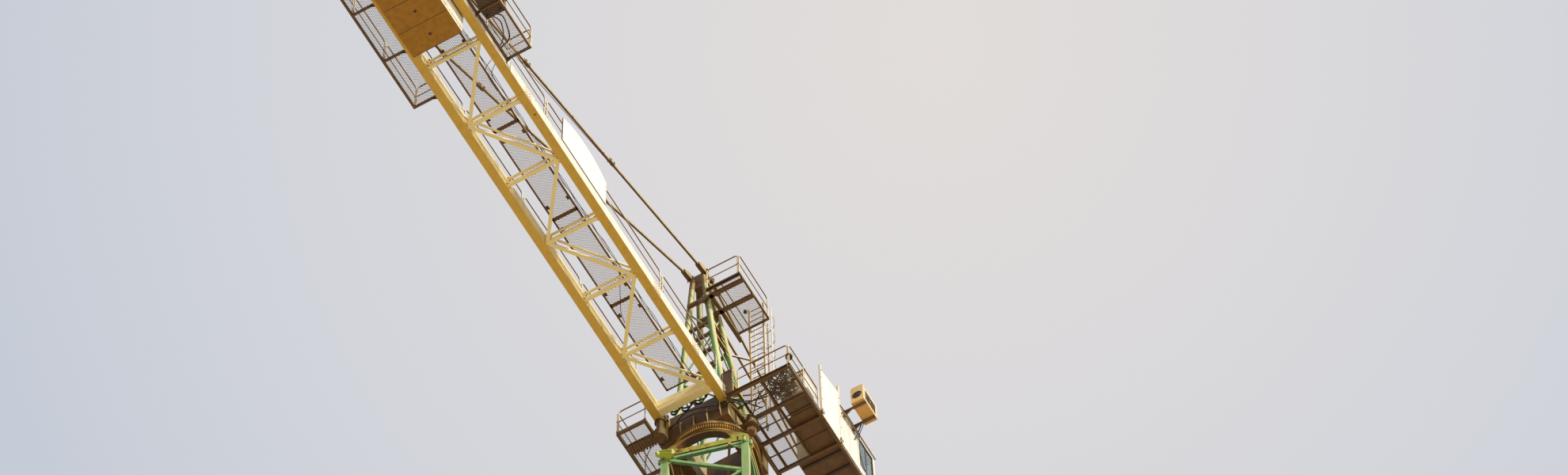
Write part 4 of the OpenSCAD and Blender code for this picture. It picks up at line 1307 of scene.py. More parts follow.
# Girders: joint straps, bolted cover plates, end plates and the cleats that take the braces
def makeGirders(s):
    for side, name in ((1, "girder_left"), (-1, "girder_right")):
        bm = bmesh.new()
        web, t = side * s["web"], s["plate"]
        y0, y1 = web - s["half"], web + s["half"]
        for x in s["joints"][side]:
            addBox(bm, (x - 0.09, y0 + 0.008, deck - t), (x + 0.09, y1 - 0.008, deck))
            for y, out in ((y0, -1), (y1, 1)):
                addBox(bm, (x - 0.09, y, deck + 0.02), (x + 0.09, y + out * t, girderTop - 0.02))
                for dx in (-0.06, -0.02, 0.02, 0.06):
                    for dz in (0.05, 0.12, 0.19):
                        addBolt(bm, (x + dx, y + out * t, deck + dz), (0, out, 0), s["bolt"] * 0.8)
            for dx in (-0.06, 0.06):
                for dy in (-0.03, 0.03):
                    addBolt(bm, (x + dx, web + dy, deck - t), (0, 0, -1), s["bolt"] * 0.8)
        tail = s["x"][0]
        addBox(bm, (tail, y0 + 0.004, deck + 0.004), (tail + 0.008, y1 - 0.004, girderTop - 0.004))
        makePiece(name + "Joints", bm, "inner_cream" if side > 0 else "cream_paint")
    bm = bmesh.new()
    inner, c = s["web"] - s["half"], s["cleat"]
    for i in range(1, s["bays"] + 1):
        x = s["end"] - i * s["bay"]
        for side in (1, -1):
            y = side * inner
            for z, size in ((deck + 0.034, c), (girderTop - 0.03, c * 0.8)):
                far = y - side * size
                cleat = [(x - size, y), (x + size, y), (x + size * 0.35, far), (x - size * 0.35, far)]
                addSheet(bm, "z", z, cleat, 0.006)
                for dx in (-0.6, 0.6):
                    addBolt(bm, (x + dx * size, y - side * 0.03, z), (0, 0, -1), 0.009)
            addBox(bm, (x - 0.035, side * inner, deck + 0.05), (x + 0.035, side * (inner - 0.012), girderTop - 0.03))
    makePiece("braceCleats", bm, "inner_cream", bevel=0.0015)


makeGirders(frameSet)


# Feet and clamps where two rail panels meet on a girder
def makeRailFeet(s):
    bm = bmesh.new()
    for (start, y), out in zip(s["starts"], (1, -1)):
        for i in range(s["panels"]):
            for inset in s["feet"]:
                place = Vector((start - (i + 1) * s["step"] + inset, y, girderTop))
                addRound(bm, place, place + Vector((0, 0, 0.075)), 0.03, 10)
                addBox(bm, place - Vector((0.025, 0.016, 0)), place + Vector((0.025, 0.016, 0.006)))
                for z in (0.025, 0.055):
                    addBolt(bm, place + Vector((0, out * 0.015, z)), (0, out, 0), 0.007)
                addRound(bm, place + Vector((-0.014, 0, 0.275)), place + Vector((0.014, 0, 0.275)), 0.026, 8)
            if i:
                x = start - i * s["step"]
                for z in (0.17, 0.42):
                    addBox(bm, (x - 0.055, y - 0.006, girderTop + z), (x + 0.035, y + 0.006, girderTop + z + 0.022))
    makePiece("railFeet", bm, "rail_paint")


makeRailFeet(railRunSet)


# Name board: its folded rim and the clamps that hold it on the rail
boardSet = {"x": (-5.02, -3.88), "y": -0.5153, "low": 0.26, "clamps": (-4.9, -4.64, -4.26, -4.0)}


def makeBoard(s):
    bm = bmesh.new()
    x0, x1 = s["x"]
    z = deck + s["low"]
    y = s["y"]
    for x in s["clamps"]:
        for dz in (0.255, 0.52):
            addBox(bm, (x - 0.02, y, z + dz - 0.011), (x + 0.02, y + 0.026, z + dz + 0.011))
            addRound(bm, (x, y, z + dz), (x, y + 0.03, z + dz), 0.012, 8)
    for x in (x0 + 0.012, x1 - 0.012):
        addBox(bm, (x - 0.012, y - 0.015, z + 0.005), (x + 0.012, y + 0.006, z + 0.66))
    addBox(bm, (x0, y - 0.016, z), (x1, y + 0.006, z + 0.014))
    makePiece("boardClamps", bm, "white_paint", bevel=0.001)


makeBoard(boardSet)


# Counterweights: hanger bars over the girders, lifting eyes, and the seams of the cast slabs
weightSet = {"count": 5, "first": -7.3, "thick": 0.372, "gap": 0.003, "half": 0.375, "drop": 0.37, "top": 0.57,
             "hanger": 0.35, "eye": [(-0.05, -0.01), (-0.045, 0.055), (0, 0.085), (0.045, 0.055), (0.05, -0.01)]}


def makeWeights(s):
    iron, cast = bmesh.new(), bmesh.new()
    for i in range(s["count"]):
        x = s["first"] - (i + 1) * (s["thick"] + s["gap"])
        mid = x + s["thick"] / 2
        base = deck - s["drop"]
        for side in (1, -1):
            addCable(iron, [(mid + u, side * 0.24, deck + s["top"] + v) for u, v in s["eye"]], 0.018, 8, 4)
            addBox(iron, (mid - 0.05, side * s["hanger"], girderTop + 0.001),
                   (mid + 0.05, side * (s["hanger"] + 0.13), girderTop + 0.012))
            for dx in (-0.036, 0.036):
                addBolt(iron, (mid + dx, side * (s["hanger"] + 0.1), girderTop + 0.012), (0, 0, 1), 0.012)
            for z in (-0.3, 0.12, 0.45):
                addBox(cast, (x + 0.03, side * s["half"], deck + z),
                       (x + s["thick"] - 0.03, side * (s["half"] + 0.006), deck + z + 0.02))
        addPost(iron, (mid, 0), base - 0.004, base + 0.003, 0.04, 16)
        addBox(iron, (x + s["thick"] - 0.002, -s["half"] + 0.01, base - 0.001),
               (x + s["thick"] + s["gap"] + 0.002, s["half"] - 0.01, deck + 0.2))
        for dx in (-0.12, 0.12):
            for y in (-0.3, 0.3):
                addPost(cast, (mid + dx, y), base - 0.003, base + 0.002, 0.02, 12)
    makePiece("weightIrons", iron, "dark_steel")
    makePiece("weightRibs", cast, "ochre_concrete", bevel=0.002)


makeWeights(weightSet)


# Resistor box: louvre blades, feet, lid rim and the cable loops that leave it
resistorSet = {"x": (-7.5, -7.08), "y": (-0.88, -0.6), "z": 0.1663, "height": 0.3, "loopZ": 0.17,
               "loops": [(0.022, [(-7.08, -0.72, 0.06), (-6.96, -0.76, 0.16), (-6.85, -0.77, 0.02),
                                  (-6.705, -0.715, 0.0), (-6.635, -0.565, 0.02), (-6.62, -0.5, -0.03)]),
                         (0.018, [(-7.08, -0.68, 0.03), (-6.93, -0.71, 0.1), (-6.8, -0.68, 0.02),
                                  (-6.7, -0.6, 0.0), (-6.66, -0.5, -0.02)])]}


def makeResistor(s):
    bm = bmesh.new()
    (x0, x1), (y0, y1) = s["x"], s["y"]
    z = deck + s["z"]
    addLouvres(bm, (x0 + 0.04, x1 - 0.04), (y0 - 0.006, y0 + 0.01), z + 0.05, 6, 0.034, 0.014, 0.002)
    addBox(bm, (x0 - 0.008, y0 - 0.008, z + s["height"] - 0.018), (x1 + 0.008, y1 + 0.008, z + s["height"] + 0.004))
    for x in (x0 + 0.03, x1 - 0.06):
        for y in (y0 + 0.03, y1 - 0.06):
            addBox(bm, (x, y, z - 0.05), (x + 0.03, y + 0.03, z))
    makePiece("resistorLouvres", bm, "dark_steel")
    loops = bmesh.new()
    for size, points in s["loops"]:
        addCable(loops, [(x, y, deck + s["loopZ"] + dz) for x, y, dz in points], size, 8)
    makePiece("resistorCables", loops, "cable_rubber")


makeResistor(resistorSet)
print("counter-jib detailed")


# Mast: sockets with bolts at the corners of each joint, and gussets for the sides' diagonals
mastSet = {"half": 0.6125, "leg": 0.1, "foot": 0.3, "section": 1.5, "count": 6, "socket": 0.042, "reach": 0.085,
           "gusset": 0.16, "plate": 0.008}


def makeMastJoints(s):
    sockets, gussets = bmesh.new(), bmesh.new()
    half, leg = s["half"], s["leg"]
    for i in range(s["count"] + 1):
        z = s["foot"] + i * s["section"]
        for cx, cy in corners:
            for along in (0, 1):
                x = cx * (half + 0.006 + s["socket"] / 2) if along else cx * (half - leg / 2)
                y = cy * (half - leg / 2) if along else cy * (half + 0.006 + s["socket"] / 2)
                near, far = (half, half + 0.006) if along else (half - leg, half + 0.006)
                side = (half - leg, half) if along else (half, half + 0.006)
                low = z - (0 if i == 0 else s["reach"])
                high = z + (0 if i == s["count"] else s["reach"])
                addBox(sockets, (cx * near, cy * side[0], max(low, z - 0.08)),
                       (cx * far, cy * side[1], min(high, z + 0.08)))
                addPost(sockets, (x, y), low, high, s["socket"], 12)
                if i:
                    addBolt(sockets, (x, y, low), (0, 0, -1), 0.018)
                if i < s["count"]:
                    addBolt(sockets, (x, y, high), (0, 0, 1), 0.018)
    for i in range(s["count"]):
        z = s["foot"] + i * s["section"]
        y = half - 0.058
        inner, mid = half - leg, z + 0.75
        g, t = s["gusset"], s["plate"]
        outlines = [[(inner, end), (inner - g, end), (inner - g * 0.45, end + up * g * 0.5), (inner, end + up * g)]
                    for end, up in ((z + 0.045, 1), (z + 1.455, -1))]
        outlines.append([(inner, mid - g * 0.6), (inner - g * 0.55, mid), (inner, mid + g * 0.6)])
        for k in range(4):
            turn = Matrix.Rotation(math.pi / 2 * k, 3, "Z")
            for side in (1, -1):
                for outline in outlines[:3 if side > 0 else 2]:
                    addTurned(gussets, turn, [(side * u, -y - 0.03, v) for u, v in outline], (0, -t, 0))
    makePiece("mastSockets", turned(sockets), "green_paint", "tower")
    makePiece("mastGussets", turned(gussets), "green_paint", "tower")


makeMastJoints(mastSet)


# Base: ribs on the arms, anchor studs with their nuts, and the corner ribs of the centre plate
baseSet = {"reach": 2.3, "width": 0.2, "low": 0.03, "high": 0.3, "foot": 0.52, "anchors": 0.21, "studs": 0.026}


def makeBase(s):
    ribs, studs = bmesh.new(), bmesh.new()
    low, high = s["low"], s["high"]
    for k in range(4):
        turn = Matrix.Rotation(math.pi / 4 + math.pi / 2 * k, 3, "Z")
        for side in (1, -1):
            for x in (s["reach"] - 0.2, s["reach"] - 0.02, s["reach"] - 0.11):
                y0, y1 = side * s["width"] / 2, side * (s["foot"] / 2 - 0.02)
                addTurned(ribs, turn, [(x, y0, low), (x, y1, low), (x, y0, low + 0.17)], (0.012, 0, 0))
            inner, outer = side * (s["width"] / 2 - 0.03), side * (s["width"] / 2 + 0.022)
            for x in (0.95, 1.25, 1.55, 1.85):
                rib = [(x, inner, low), (x, outer, low), (x, outer, high), (x, inner, high)]
                addTurned(ribs, turn, rib, (0.01, 0, 0))
        for b in range(4):
            out = circleOf(s["anchors"], 8)[2 * b + 1]
            place = turn @ Vector((s["reach"] + out[0], out[1], 0))
            addRound(studs, place + Vector((0, 0, 0.002)), place + Vector((0, 0, 0.075)), s["studs"], 12)
            addBolt(studs, place + Vector((0, 0, low)), (0, 0, 1), s["studs"])
        end = [(0.86, -0.1, low), (0.86, 0.1, low), (0.86, 0.1, high), (0.86, -0.1, high)]
        addTurned(ribs, turn, end, (0.012, 0, 0))
    makePiece("baseRibs", turned(ribs), "green_paint", "tower")
    makePiece("baseStuds", turned(studs), "dark_steel", "tower")


makeBase(baseSet)


# Slewing support: ribs along the arches and on the frame's corners, and bolts on its sides and under the flange
supportSet = {"low": 9.3, "half": 0.6125, "flange": 9.7597, "studs": 36, "ring": 0.55, "beam": 0.11, "arch": 0.405}


def makeSupport(s):
    bm, nuts = bmesh.new(), bmesh.new()
    half, low = s["half"], s["low"]
    for k in range(4):
        turn = Matrix.Rotation(math.pi / 2 * k, 3, "Z")
        path = arcOf(0, 0, s["arch"], 0, math.pi, 16)
        for (u0, v0), (u1, v1) in zip(path, path[1:]):
            if min(v0, v1) > 0.07:
                a = turn @ Vector((u0, -half + 0.002, low + v0 + 0.004))
                b = turn @ Vector((u1, -half + 0.002, low + v1 + 0.004))
                addBar(bm, a, b, 0.022, 0.016)
        for side in (1, -1):
            for x in (0.44, 0.50):
                rib = [(side * x, -half + y, low + s["beam"] + z) for y, z in ((-0.004, 0), (0.10, 0), (0.10, 0.14))]
                addTurned(bm, turn, rib, (side * 0.01, 0, 0))
            for x in (0.47, 0.55):
                for z in (0.03, 0.08):
                    addBolt(nuts, turn @ Vector((side * x, -half, low + z)), turn @ Vector((0, -1, 0)), 0.014)
    makePiece("supportRibs", turned(bm), "support_paint", "tower")
    turned(nuts)
    for x, y in circleOf(s["ring"], s["studs"]):
        addBolt(nuts, (x, y, s["flange"]), (0, 0, -1), 0.018)
    makePiece("supportNuts", nuts, "dark_steel", "tower")


makeSupport(supportSet)


# The bright corner arm that reaches out from the mast's top, with its plates and pin
cornerSet = {"z": 9.245, "points": ((-0.87, 0.43), (-0.67, 0.335), (-0.78, 0.21)), "rest": 9.2,
             "bars": [((-0.535, -0.525), (-0.11, -0.26), 0.035, 0.05), ((-0.11, -0.26), (0.08, 0.16), 0.03, 0.04),
                      ((-0.42, 0.34), (0.08, 0.16), 0.03, 0.04)]}


def makeCornerArm(s):
    bm = bmesh.new()
    z = s["z"]
    (ax, ay), _, (cx, cy) = s["points"]
    for dz in (-0.03, 0.03):
        outline = [*s["points"], ((ax + cx) / 2 - 0.03, (ay + cy) / 2)]
        addSheet(bm, "z", z + dz, outline, 0.008)
    addBar(bm, (ax, ay, z), (-0.62, 0.30, z + 0.06), 0.05, 0.05)
    addBar(bm, (cx, cy, z), (-0.62, 0.33, z + 0.06), 0.04, 0.05)
    addPost(bm, (ax + 0.03, ay - 0.02), z - 0.05, z + 0.06, 0.05, 14)
    addPost(bm, (cx + 0.005, cy + 0.02), z - 0.05, z + 0.06, 0.036, 14)
    makePiece("cornerArm", bm, "lime_paint", "tower", bevel=0.002)
    bars = bmesh.new()
    for a, b, width, depth in s["bars"]:
        addBar(bars, (*a, s["rest"]), (*b, s["rest"]), width, depth)
    makePiece("mastRestBars", bars, "brown_paint", "tower")


makeCornerArm(cornerSet)


# Slewing ring: grease nipples, and dark grease in the roots of the teeth
def makeRing(s):
    nuts = bmesh.new()
    middle = Vector((0, 0, s["low"] + 0.094))
    for x, y in circleOf(0.595, 24):
        out = Vector((x, y, 0)).normalized()
        addRound(nuts, middle + out * 0.607, middle + out * 0.622, 0.012, 8)
    makePiece("ringNipples", nuts, "dark_steel", "tower")
    grease = bmesh.new()
    for i in range(s["teeth"]):
        t = 2 * math.pi * (i + 0.5) / s["teeth"]
        out, side = Vector((math.cos(t), math.sin(t), 0)), Vector((-math.sin(t), math.cos(t), 0))
        p = out * s["root"]
        up = Vector((0, 0, s["low"] + 0.004))
        addPlate(grease, [p - side * 0.005 + up, p + side * 0.005 + up, p + side * 0.003 + up + Vector((0, 0, 0.07)),
                          p - side * 0.004 + up + Vector((0, 0, 0.066))], out * 0.0015)
    makePiece("ringGrease", grease, "cable_rubber", "tower")


makeRing(ringSet)


# Turntable: flange bolts, web ribs, lifting lugs and the end plates that take the girders' pins
def makeTurntable(s):
    bm, nuts = bmesh.new(), bmesh.new()
    low, lug = s["low"] + s["disc"][1], s["lug"]
    for x, y in circleOf(s["circle"], s["bolts"]):
        if abs(x) > s["half"] or abs(y) > s["side"]:
            addBolt(nuts, (x, y, low), (0, 0, 1), 0.016)
    for y in (-0.42, -0.21, 0.0, 0.21, 0.42):
        for side in (1, -1):
            near, far = side * s["half"], side * (s["half"] + 0.05)
            rib = [(near, low + 0.01), (far, low + 0.16), (far, deck - 0.05), (near, deck - 0.01)]
            addSheet(bm, "y", y, rib, 0.01)
    for x in (-0.36, 0.36):
        for side in (1, -1):
            addBox(bm, (x - 0.006, side * (s["side"] - 0.002), low + 0.01),
                   (x + 0.006, side * (s["side"] + 0.02), deck - 0.1))
    for side in (1, -1):
        web = side * frameSet["web"]
        for dy in (-0.075, 0.067):
            addRectangle(bm, "y", web + dy, (-0.56, deck + 0.02), (-0.70, girderTop - 0.02), 0.008)
        for z in (deck + 0.06, girderTop - 0.06):
            for a, b, size in ((-0.085, 0.085, 0.036), (-0.092, -0.085, 0.052), (0.085, 0.092, 0.052)):
                addRound(nuts, (-0.64, web + a, z), (-0.64, web + b, z), size, 16)
    for x, y in ((-0.5, -0.48), (-0.5, 0.48), (0.5, -0.48), (0.5, 0.48)):
        eye = [(x - 0.05, girderTop), (x + 0.05, girderTop), (x + 0.025, girderTop + lug), (x - 0.025, girderTop + lug)]
        addSheet(bm, "y", y, eye, 0.012)
    makePiece("turntableRibs", bm, "brown_paint", bevel=0.0015)
    makePiece("turntablePins", nuts, "dark_steel")


makeTurntable(tableSet)


# Slewing motors: cooling fins, flange bolts and fan cowls with their guards
def makeDrives(s):
    fins, nuts = bmesh.new(), bmesh.new()
    for angle in s["turns"]:
        place = Matrix.Rotation(math.radians(angle), 3, "Z") @ Vector((s["radius"], 0, 0))
        x, y, z = place.x, place.y, s["flange"]
        for u, v in circleOf(1, s["fins"]):
            out = Vector((u, v, 0))
            side = Vector((-v, u, 0)) * 0.002
            a = Vector((x, y, z + 0.17)) + out * 0.05
            b = a + out * 0.022
            rise = Vector((0, 0, 0.07))
            addPlate(fins, [a - side, b - side, b - side + rise, a - side + rise], side * 2)
        addPost(fins, (x, y), z + 0.245, z + 0.262, 0.126, 28)
        for k in range(5):
            addRing(fins, (x, y, z + 0.2625), (0, 0, 1), 0.012 + k * 0.011, 0.003, 20, 4)
        for u, v in circleOf(0.085, 12):
            addBolt(nuts, (x + u, y + v, z + 0.02), (0, 0, 1), 0.009)
        for u, v in circleOf(0.066, 8):
            addBolt(nuts, (x + u, y + v, z + 0.15), (0, 0, 1), 0.007)
        addRing(fins, (x, y, z + 0.085), (0, 0, 1), 0.0755, 0.006, 32, 6)
    makePiece("driveFins", fins, "brown_paint")
    makePiece("driveNuts", nuts, "dark_steel")


makeDrives(driveSet)
print("mast, support, ring and turntable detailed")


# Tower head: gussets where the beams meet the legs, thin diagonals, and bolted feet
def makeHead(s):
    pale, dark, nuts = bmesh.new(), bmesh.new(), bmesh.new()
    faces = [((-1, -1), (1, -1)), ((-1, 1), (1, 1)), ((-1, -1), (-1, 1)), ((1, -1), (1, 1))]
    for i, (low, high) in enumerate(zip(s["levels"], s["levels"][1:])):
        for k, (a, b) in enumerate(faces):
            if (i + k) % 2:
                a, b = b, a
            start, end = headPoint(*a, low + 0.05), headPoint(*b, high - 0.05)
            ahead = (end - start).normalized()
            addRound(pale, start + ahead * 0.05, end - ahead * 0.05, s["braceSize"], 10)
    g = s["gusset"]
    for z in s["frames"]:
        for a, b in faces:
            for p, q in ((a, b), (b, a)):
                place = headPoint(*p, z)
                toward = (headPoint(*q, z) - place).normalized()
                for up in (1, -1):
                    leg = (headPoint(*p, z + up * 0.2) - place).normalized()
                    outline = [place + leg * 0.03, place + toward * 0.03 + leg * 0.03,
                               place + toward * (0.05 + g) + leg * 0.026,
                               place + leg * (0.05 + g) + toward * 0.04, place + leg * (0.05 + g)]
                    addPlate(dark, outline, toward.cross(leg).normalized() * 0.008)
    for sx in (-1, 1):
        for sy in (-1, 1):
            foot = headPoint(sx, sy, s["low"])
            for dx in (-0.055, 0.055):
                for dy in (-0.055, 0.055):
                    addBolt(nuts, foot + Vector((dx, dy, 0.0205)), (0, 0, 1), 0.014)
            for dx, dy in ((1, 0), (-1, 0), (0, 1), (0, -1)):
                out = Vector((dx, dy, 0))
                base = foot + Vector((0, 0, 0.02))
                addPlate(dark, [base + out * 0.04, base + out * 0.068, base + out * 0.044 + Vector((0, 0, 0.08))],
                         Vector((-dy, dx, 0)) * 0.008)
    makePiece("headDiagonals", pale, "leg_paint")
    makePiece("headGussets", dark, "leg_paint", bevel=0.0012)
    makePiece("headNuts", nuts, "dark_steel")


makeHead(headSet)


# Head's top: pins with keeper plates, ribs, and the strap, rim and hub of the sheave
def makeHeadTop(s):
    iron, brown = bmesh.new(), bmesh.new()
    for side in (1, -1):
        for dx in (-s["lug"], s["lug"]):
            x, z = s["lean"] + dx, deck + s["pinZ"]
            for out in (1, -1):
                y = side * s["tie"] + out * 0.041
                addRound(iron, (x, y, z), (x, y + out * 0.012, z), 0.052, 18)
                addBox(brown, (x - 0.012, y, z - 0.075), (x + 0.012, y + out * 0.006, z - 0.022))
                addBolt(iron, (x, y + out * 0.006, z - 0.058), (0, out, 0), 0.009)
    for y in (-0.131, -0.099, 0.099, 0.131):
        rib = [(s["lean"] + u, deck + v) for u, v in ((-0.03, 4.12), (0.03, 4.12), (0.02, 3.98), (-0.02, 3.98))]
        addSheet(brown, "y", y, rib, 0.006)
    for x in (s["lean"] - s["tip"], s["lean"] + s["tip"]):
        addBox(brown, (x - 0.006, -0.1, deck + 4.0), (x + 0.006, 0.1, deck + 4.014))
    x, hub = -0.285, deck + 4.34
    addBar(brown, (x, -0.08, deck + 4.24), (x, -0.08, deck + 4.46), 0.03, 0.012)
    addRing(brown, (x, -0.03, hub), (0, 1, 0), 0.096, 0.009, 28, 6)
    addRound(iron, (x, -0.085, hub), (x, 0.01, hub), 0.03, 14)
    addBolt(iron, (x, -0.085, hub), (0, -1, 0), 0.018)
    makePiece("headTopPins", iron, "dark_steel")
    makePiece("headTopPlates", brown, "brown_paint", bevel=0.001)


makeHeadTop(headSet)


# Rear tie bars: joint plates with pins along each bar, and the lugs on the girders
tieSet = {"low": (-8.02, frameSet["web"], 0.3), "high": (-0.433, 0.12, 4.21), "joints": (0.3, 0.62),
          "plate": (0.16, 0.06, 0.008)}


def makeTies(s):
    brown, iron = bmesh.new(), bmesh.new()
    for side in (1, -1):
        low = Vector((s["low"][0], side * s["low"][1], deck + s["low"][2]))
        high = Vector((s["high"][0], side * s["high"][1], deck + s["high"][2]))
        ahead = (high - low).normalized()
        across = Vector((0, 1, 0))
        across = (across - ahead * across.dot(ahead)).normalized()
        up = ahead.cross(across)
        length, depth, thick = s["plate"]
        for share in s["joints"]:
            mid = low.lerp(high, share)
            for out in (1, -1):
                a = mid + across * out * 0.016
                addPlate(brown, [a - ahead * length / 2 - up * depth / 2, a + ahead * length / 2 - up * depth / 2,
                                 a + ahead * length / 2 + up * depth / 2, a - ahead * length / 2 + up * depth / 2],
                         across * out * thick)
                for k in (-0.05, 0.05):
                    addRound(iron, a + ahead * k, a + ahead * k + across * out * 0.02, 0.028, 12)
        for out in (1, -1):
            addBox(brown, (low.x - 0.07, low.y + out * 0.02, girderTop),
                   (low.x + 0.07, low.y + out * 0.032, girderTop + 0.1))
            addRound(iron, (low.x, low.y + out * 0.03, low.z), (low.x, low.y + out * 0.048, low.z), 0.05, 16)
    makePiece("tiePlates", brown, "brown_paint", bevel=0.001)
    makePiece("tiePins", iron, "dark_steel")


makeTies(tieSet)


# Ladder on the head: cleats on its stiles, and bars that hold it to the legs
ladderSet = {"x": 0.277, "y": -0.57, "half": 0.115, "levels": (0.32, 1.4, 2.375, 3.2)}


def makeLadderCleats(s):
    bm = bmesh.new()
    for z in s["levels"]:
        for side in (1, -1):
            y = s["y"] + side * s["half"]
            addBox(bm, (s["x"] - 0.02, y - 0.018, deck + z), (s["x"] + 0.02, y + 0.018, deck + z + 0.035))
            addBolt(bm, (s["x"] + 0.02, y, deck + z + 0.017), (1, 0, 0), 0.008)
    for z in (1.4, 2.375):
        leg = headPoint(1, -1, z)
        addBar(bm, (leg.x, leg.y, deck + z + 0.015), (s["x"], s["y"] + s["half"], deck + z + 0.015), 0.025, 0.02)
    makePiece("ladderCleats", bm, "rail_paint")


makeLadderCleats(ladderSet)
print("tower head detailed")


# Cab: window frames, gutter, handrail and grip, hinges, wiper, lamps, the floor's stiffeners and the seat
cabSet = {"x": (0.82, 1.86), "y": (-1.5303, -0.8503), "low": 0.0203, "high": 1.04, "seal": 0.016,
          "side": (0.5824, 0.9776, 0.2203, 0.9603), "front": (0.06, 0.62, 0.1403, 0.9603),
          "wiper": (((0.34, 0.98), (0.28, 0.6), 0.012, 0.006), ((0.31, 0.58), (0.2, 0.9), 0.01, 0.008)),
          "rail": ((0.08, -0.004), (0.08, -0.04), (0.5, -0.04), (0.5, -0.004)), "railZ": 0.86,
          "grip": ((-0.004, 0.25), (-0.035, 0.27), (-0.035, 0.75), (-0.004, 0.77)), "gripY": 0.5,
          "seatBoxes": (((1.22, -1.34, 0.022), (1.42, -1.08, 0.16)), ((1.14, -1.41, 0.2), (1.5, -1.02, 0.27))),
          "seatBack": ((1.14, 0.26), (1.2, 0.26), (1.12, 0.72), (1.06, 0.72)), "backY": (-1.39, 0.35)}


def addFrame(bm, corner, across, up, out, wide, tall, bar, thick):
    corner, across, up, out = Vector(corner), Vector(across), Vector(up), Vector(out)
    for a, b, size in ((0, 0, (wide, bar)), (0, tall - bar, (wide, bar)), (0, bar, (bar, tall - 2 * bar)),
                       (wide - bar, bar, (bar, tall - 2 * bar))):
        start = corner + across * a + up * b
        addPlate(bm, [start, start + across * size[0], start + across * size[0] + up * size[1], start + up * size[1]],
                 out * thick)


def makeCab(s):
    seals, white, iron = bmesh.new(), bmesh.new(), bmesh.new()
    (x0, x1), (y0, y1) = s["x"], s["y"]
    z0, z1 = deck + s["low"], deck + s["high"]
    a, b, low, high = s["side"]
    for y, out in ((y0, -1), (y1, 1)):
        addFrame(seals, (x0 + a, y, deck + low), (1, 0, 0), (0, 0, 1), (0, out, 0), b - a, high - low, s["seal"], 0.005)
        mid = x0 + (a + b) / 2
        addRectangle(seals, "y", y, (mid - 0.006, deck + low), (mid + 0.006, deck + high), out * 0.004)
    a, b, low, high = s["front"]
    addFrame(seals, (x1, y0 + a, deck + low), (0, 1, 0), (0, 0, 1), (1, 0, 0), b - a, high - low, s["seal"], 0.005)
    addRectangle(seals, "x", x1, (y0 + a, deck + 0.46), (y0 + b, deck + 0.475), 0.004)
    for z in (z0 + 0.01, z1 - 0.03):
        for y, out in ((y0, -1), (y1, 1)):
            addBox(white, (x0, y, z), (x1, y + out * 0.006, z + 0.022))
    for x in (x0 + 0.012, x0 + 0.30, x0 + 0.55):
        addBox(white, (x - 0.01, y0 - 0.005, z0 + 0.03), (x + 0.01, y0, z1 - 0.03))
    addCable(white, [(x0 + x, y0 + y, z0 + s["railZ"]) for x, y in s["rail"]], 0.014, 8, 5)
    addCable(white, [(x0 + x, y0 + s["gripY"], z0 + z) for x, z in s["grip"]], 0.014, 8, 5)
    addBox(white, (x0 - 0.022, y0 - 0.022, z1 + 0.006), (x1 + 0.022, y1 + 0.022, z1 + 0.016))
    for z in (z0 + 0.2, z0 + 0.72):
        addPost(iron, (x0 - 0.008, y0 + 0.118), z, z + 0.07, 0.016, 10)
    for (ay, az), (by, bz), width, depth in s["wiper"]:
        addBar(iron, (x1 + 0.012, y0 + ay, deck + az), (x1 + 0.012, y0 + by, deck + bz), width, depth)
    for y in (y0 + 0.08, y1 - 0.14):
        addPost(iron, (x1 - 0.05, y + 0.03), z1 + 0.032, z1 + 0.06, 0.03, 10)
        addRound(iron, (x1 - 0.075, y + 0.03, z1 + 0.085), (x1 + 0.01, y + 0.03, z1 + 0.075), 0.07, 16)
    for x in (x0 + 0.1, x0 + 0.36, x0 + 0.62, x0 + 0.88):
        addBox(iron, (x, y0 + 0.04, deck - 0.03), (x + 0.035, y1 - 0.02, deck - 0.001))
    makePiece("cabSeals", seals, "cable_rubber")
    makePiece("cabTrim", white, "white_paint", bevel=0.0012)
    makePiece("cabIrons", iron, "dark_steel")
    seat = bmesh.new()
    for (ax, ay, low), (bx, by, high) in s["seatBoxes"]:
        addBox(seat, (ax, ay, deck + low), (bx, by, deck + high))
    y, wide = s["backY"]
    addSheet(seat, "y", y, [(x, deck + z) for x, z in s["seatBack"]], wide)
    for y in (-1.45, -0.98):
        addBox(seat, (1.28, y - 0.05, deck + 0.022), (1.58, y + 0.05, deck + 0.36))
        addRound(seat, (1.5, y, deck + 0.36), (1.52, y, deck + 0.48), 0.02, 8)
    makePiece("cabSeat", seat, "cable_rubber", bevel=0.004)


makeCab(cabSet)


# Air conditioner: fan guard, casing seams, brackets on its arms and the drain line
coolerSet = {"x": (0.90, 1.31), "y": (-1.8903, -1.6903), "z": 1.027, "height": 0.4, "fanShare": 0.42, "pad": -1.537,
             "lines": [(0.012, [(-0.03, -1.6903 + 0.002, 0.03), (0.0, -1.64, -0.02), (0.03, -1.58, -0.12),
                                (0.06, -1.55, -0.4), (0.12, -1.553, -0.75), (0.25, -1.552, -0.93)]),
                       (0.02, [(-0.06, -1.6903 + 0.002, 0.05), (-0.03, -1.62, -0.05), (-0.02, -1.56, -0.2),
                               (-0.04, -1.54, -0.3), (-0.05, -1.528, -0.33)])]}


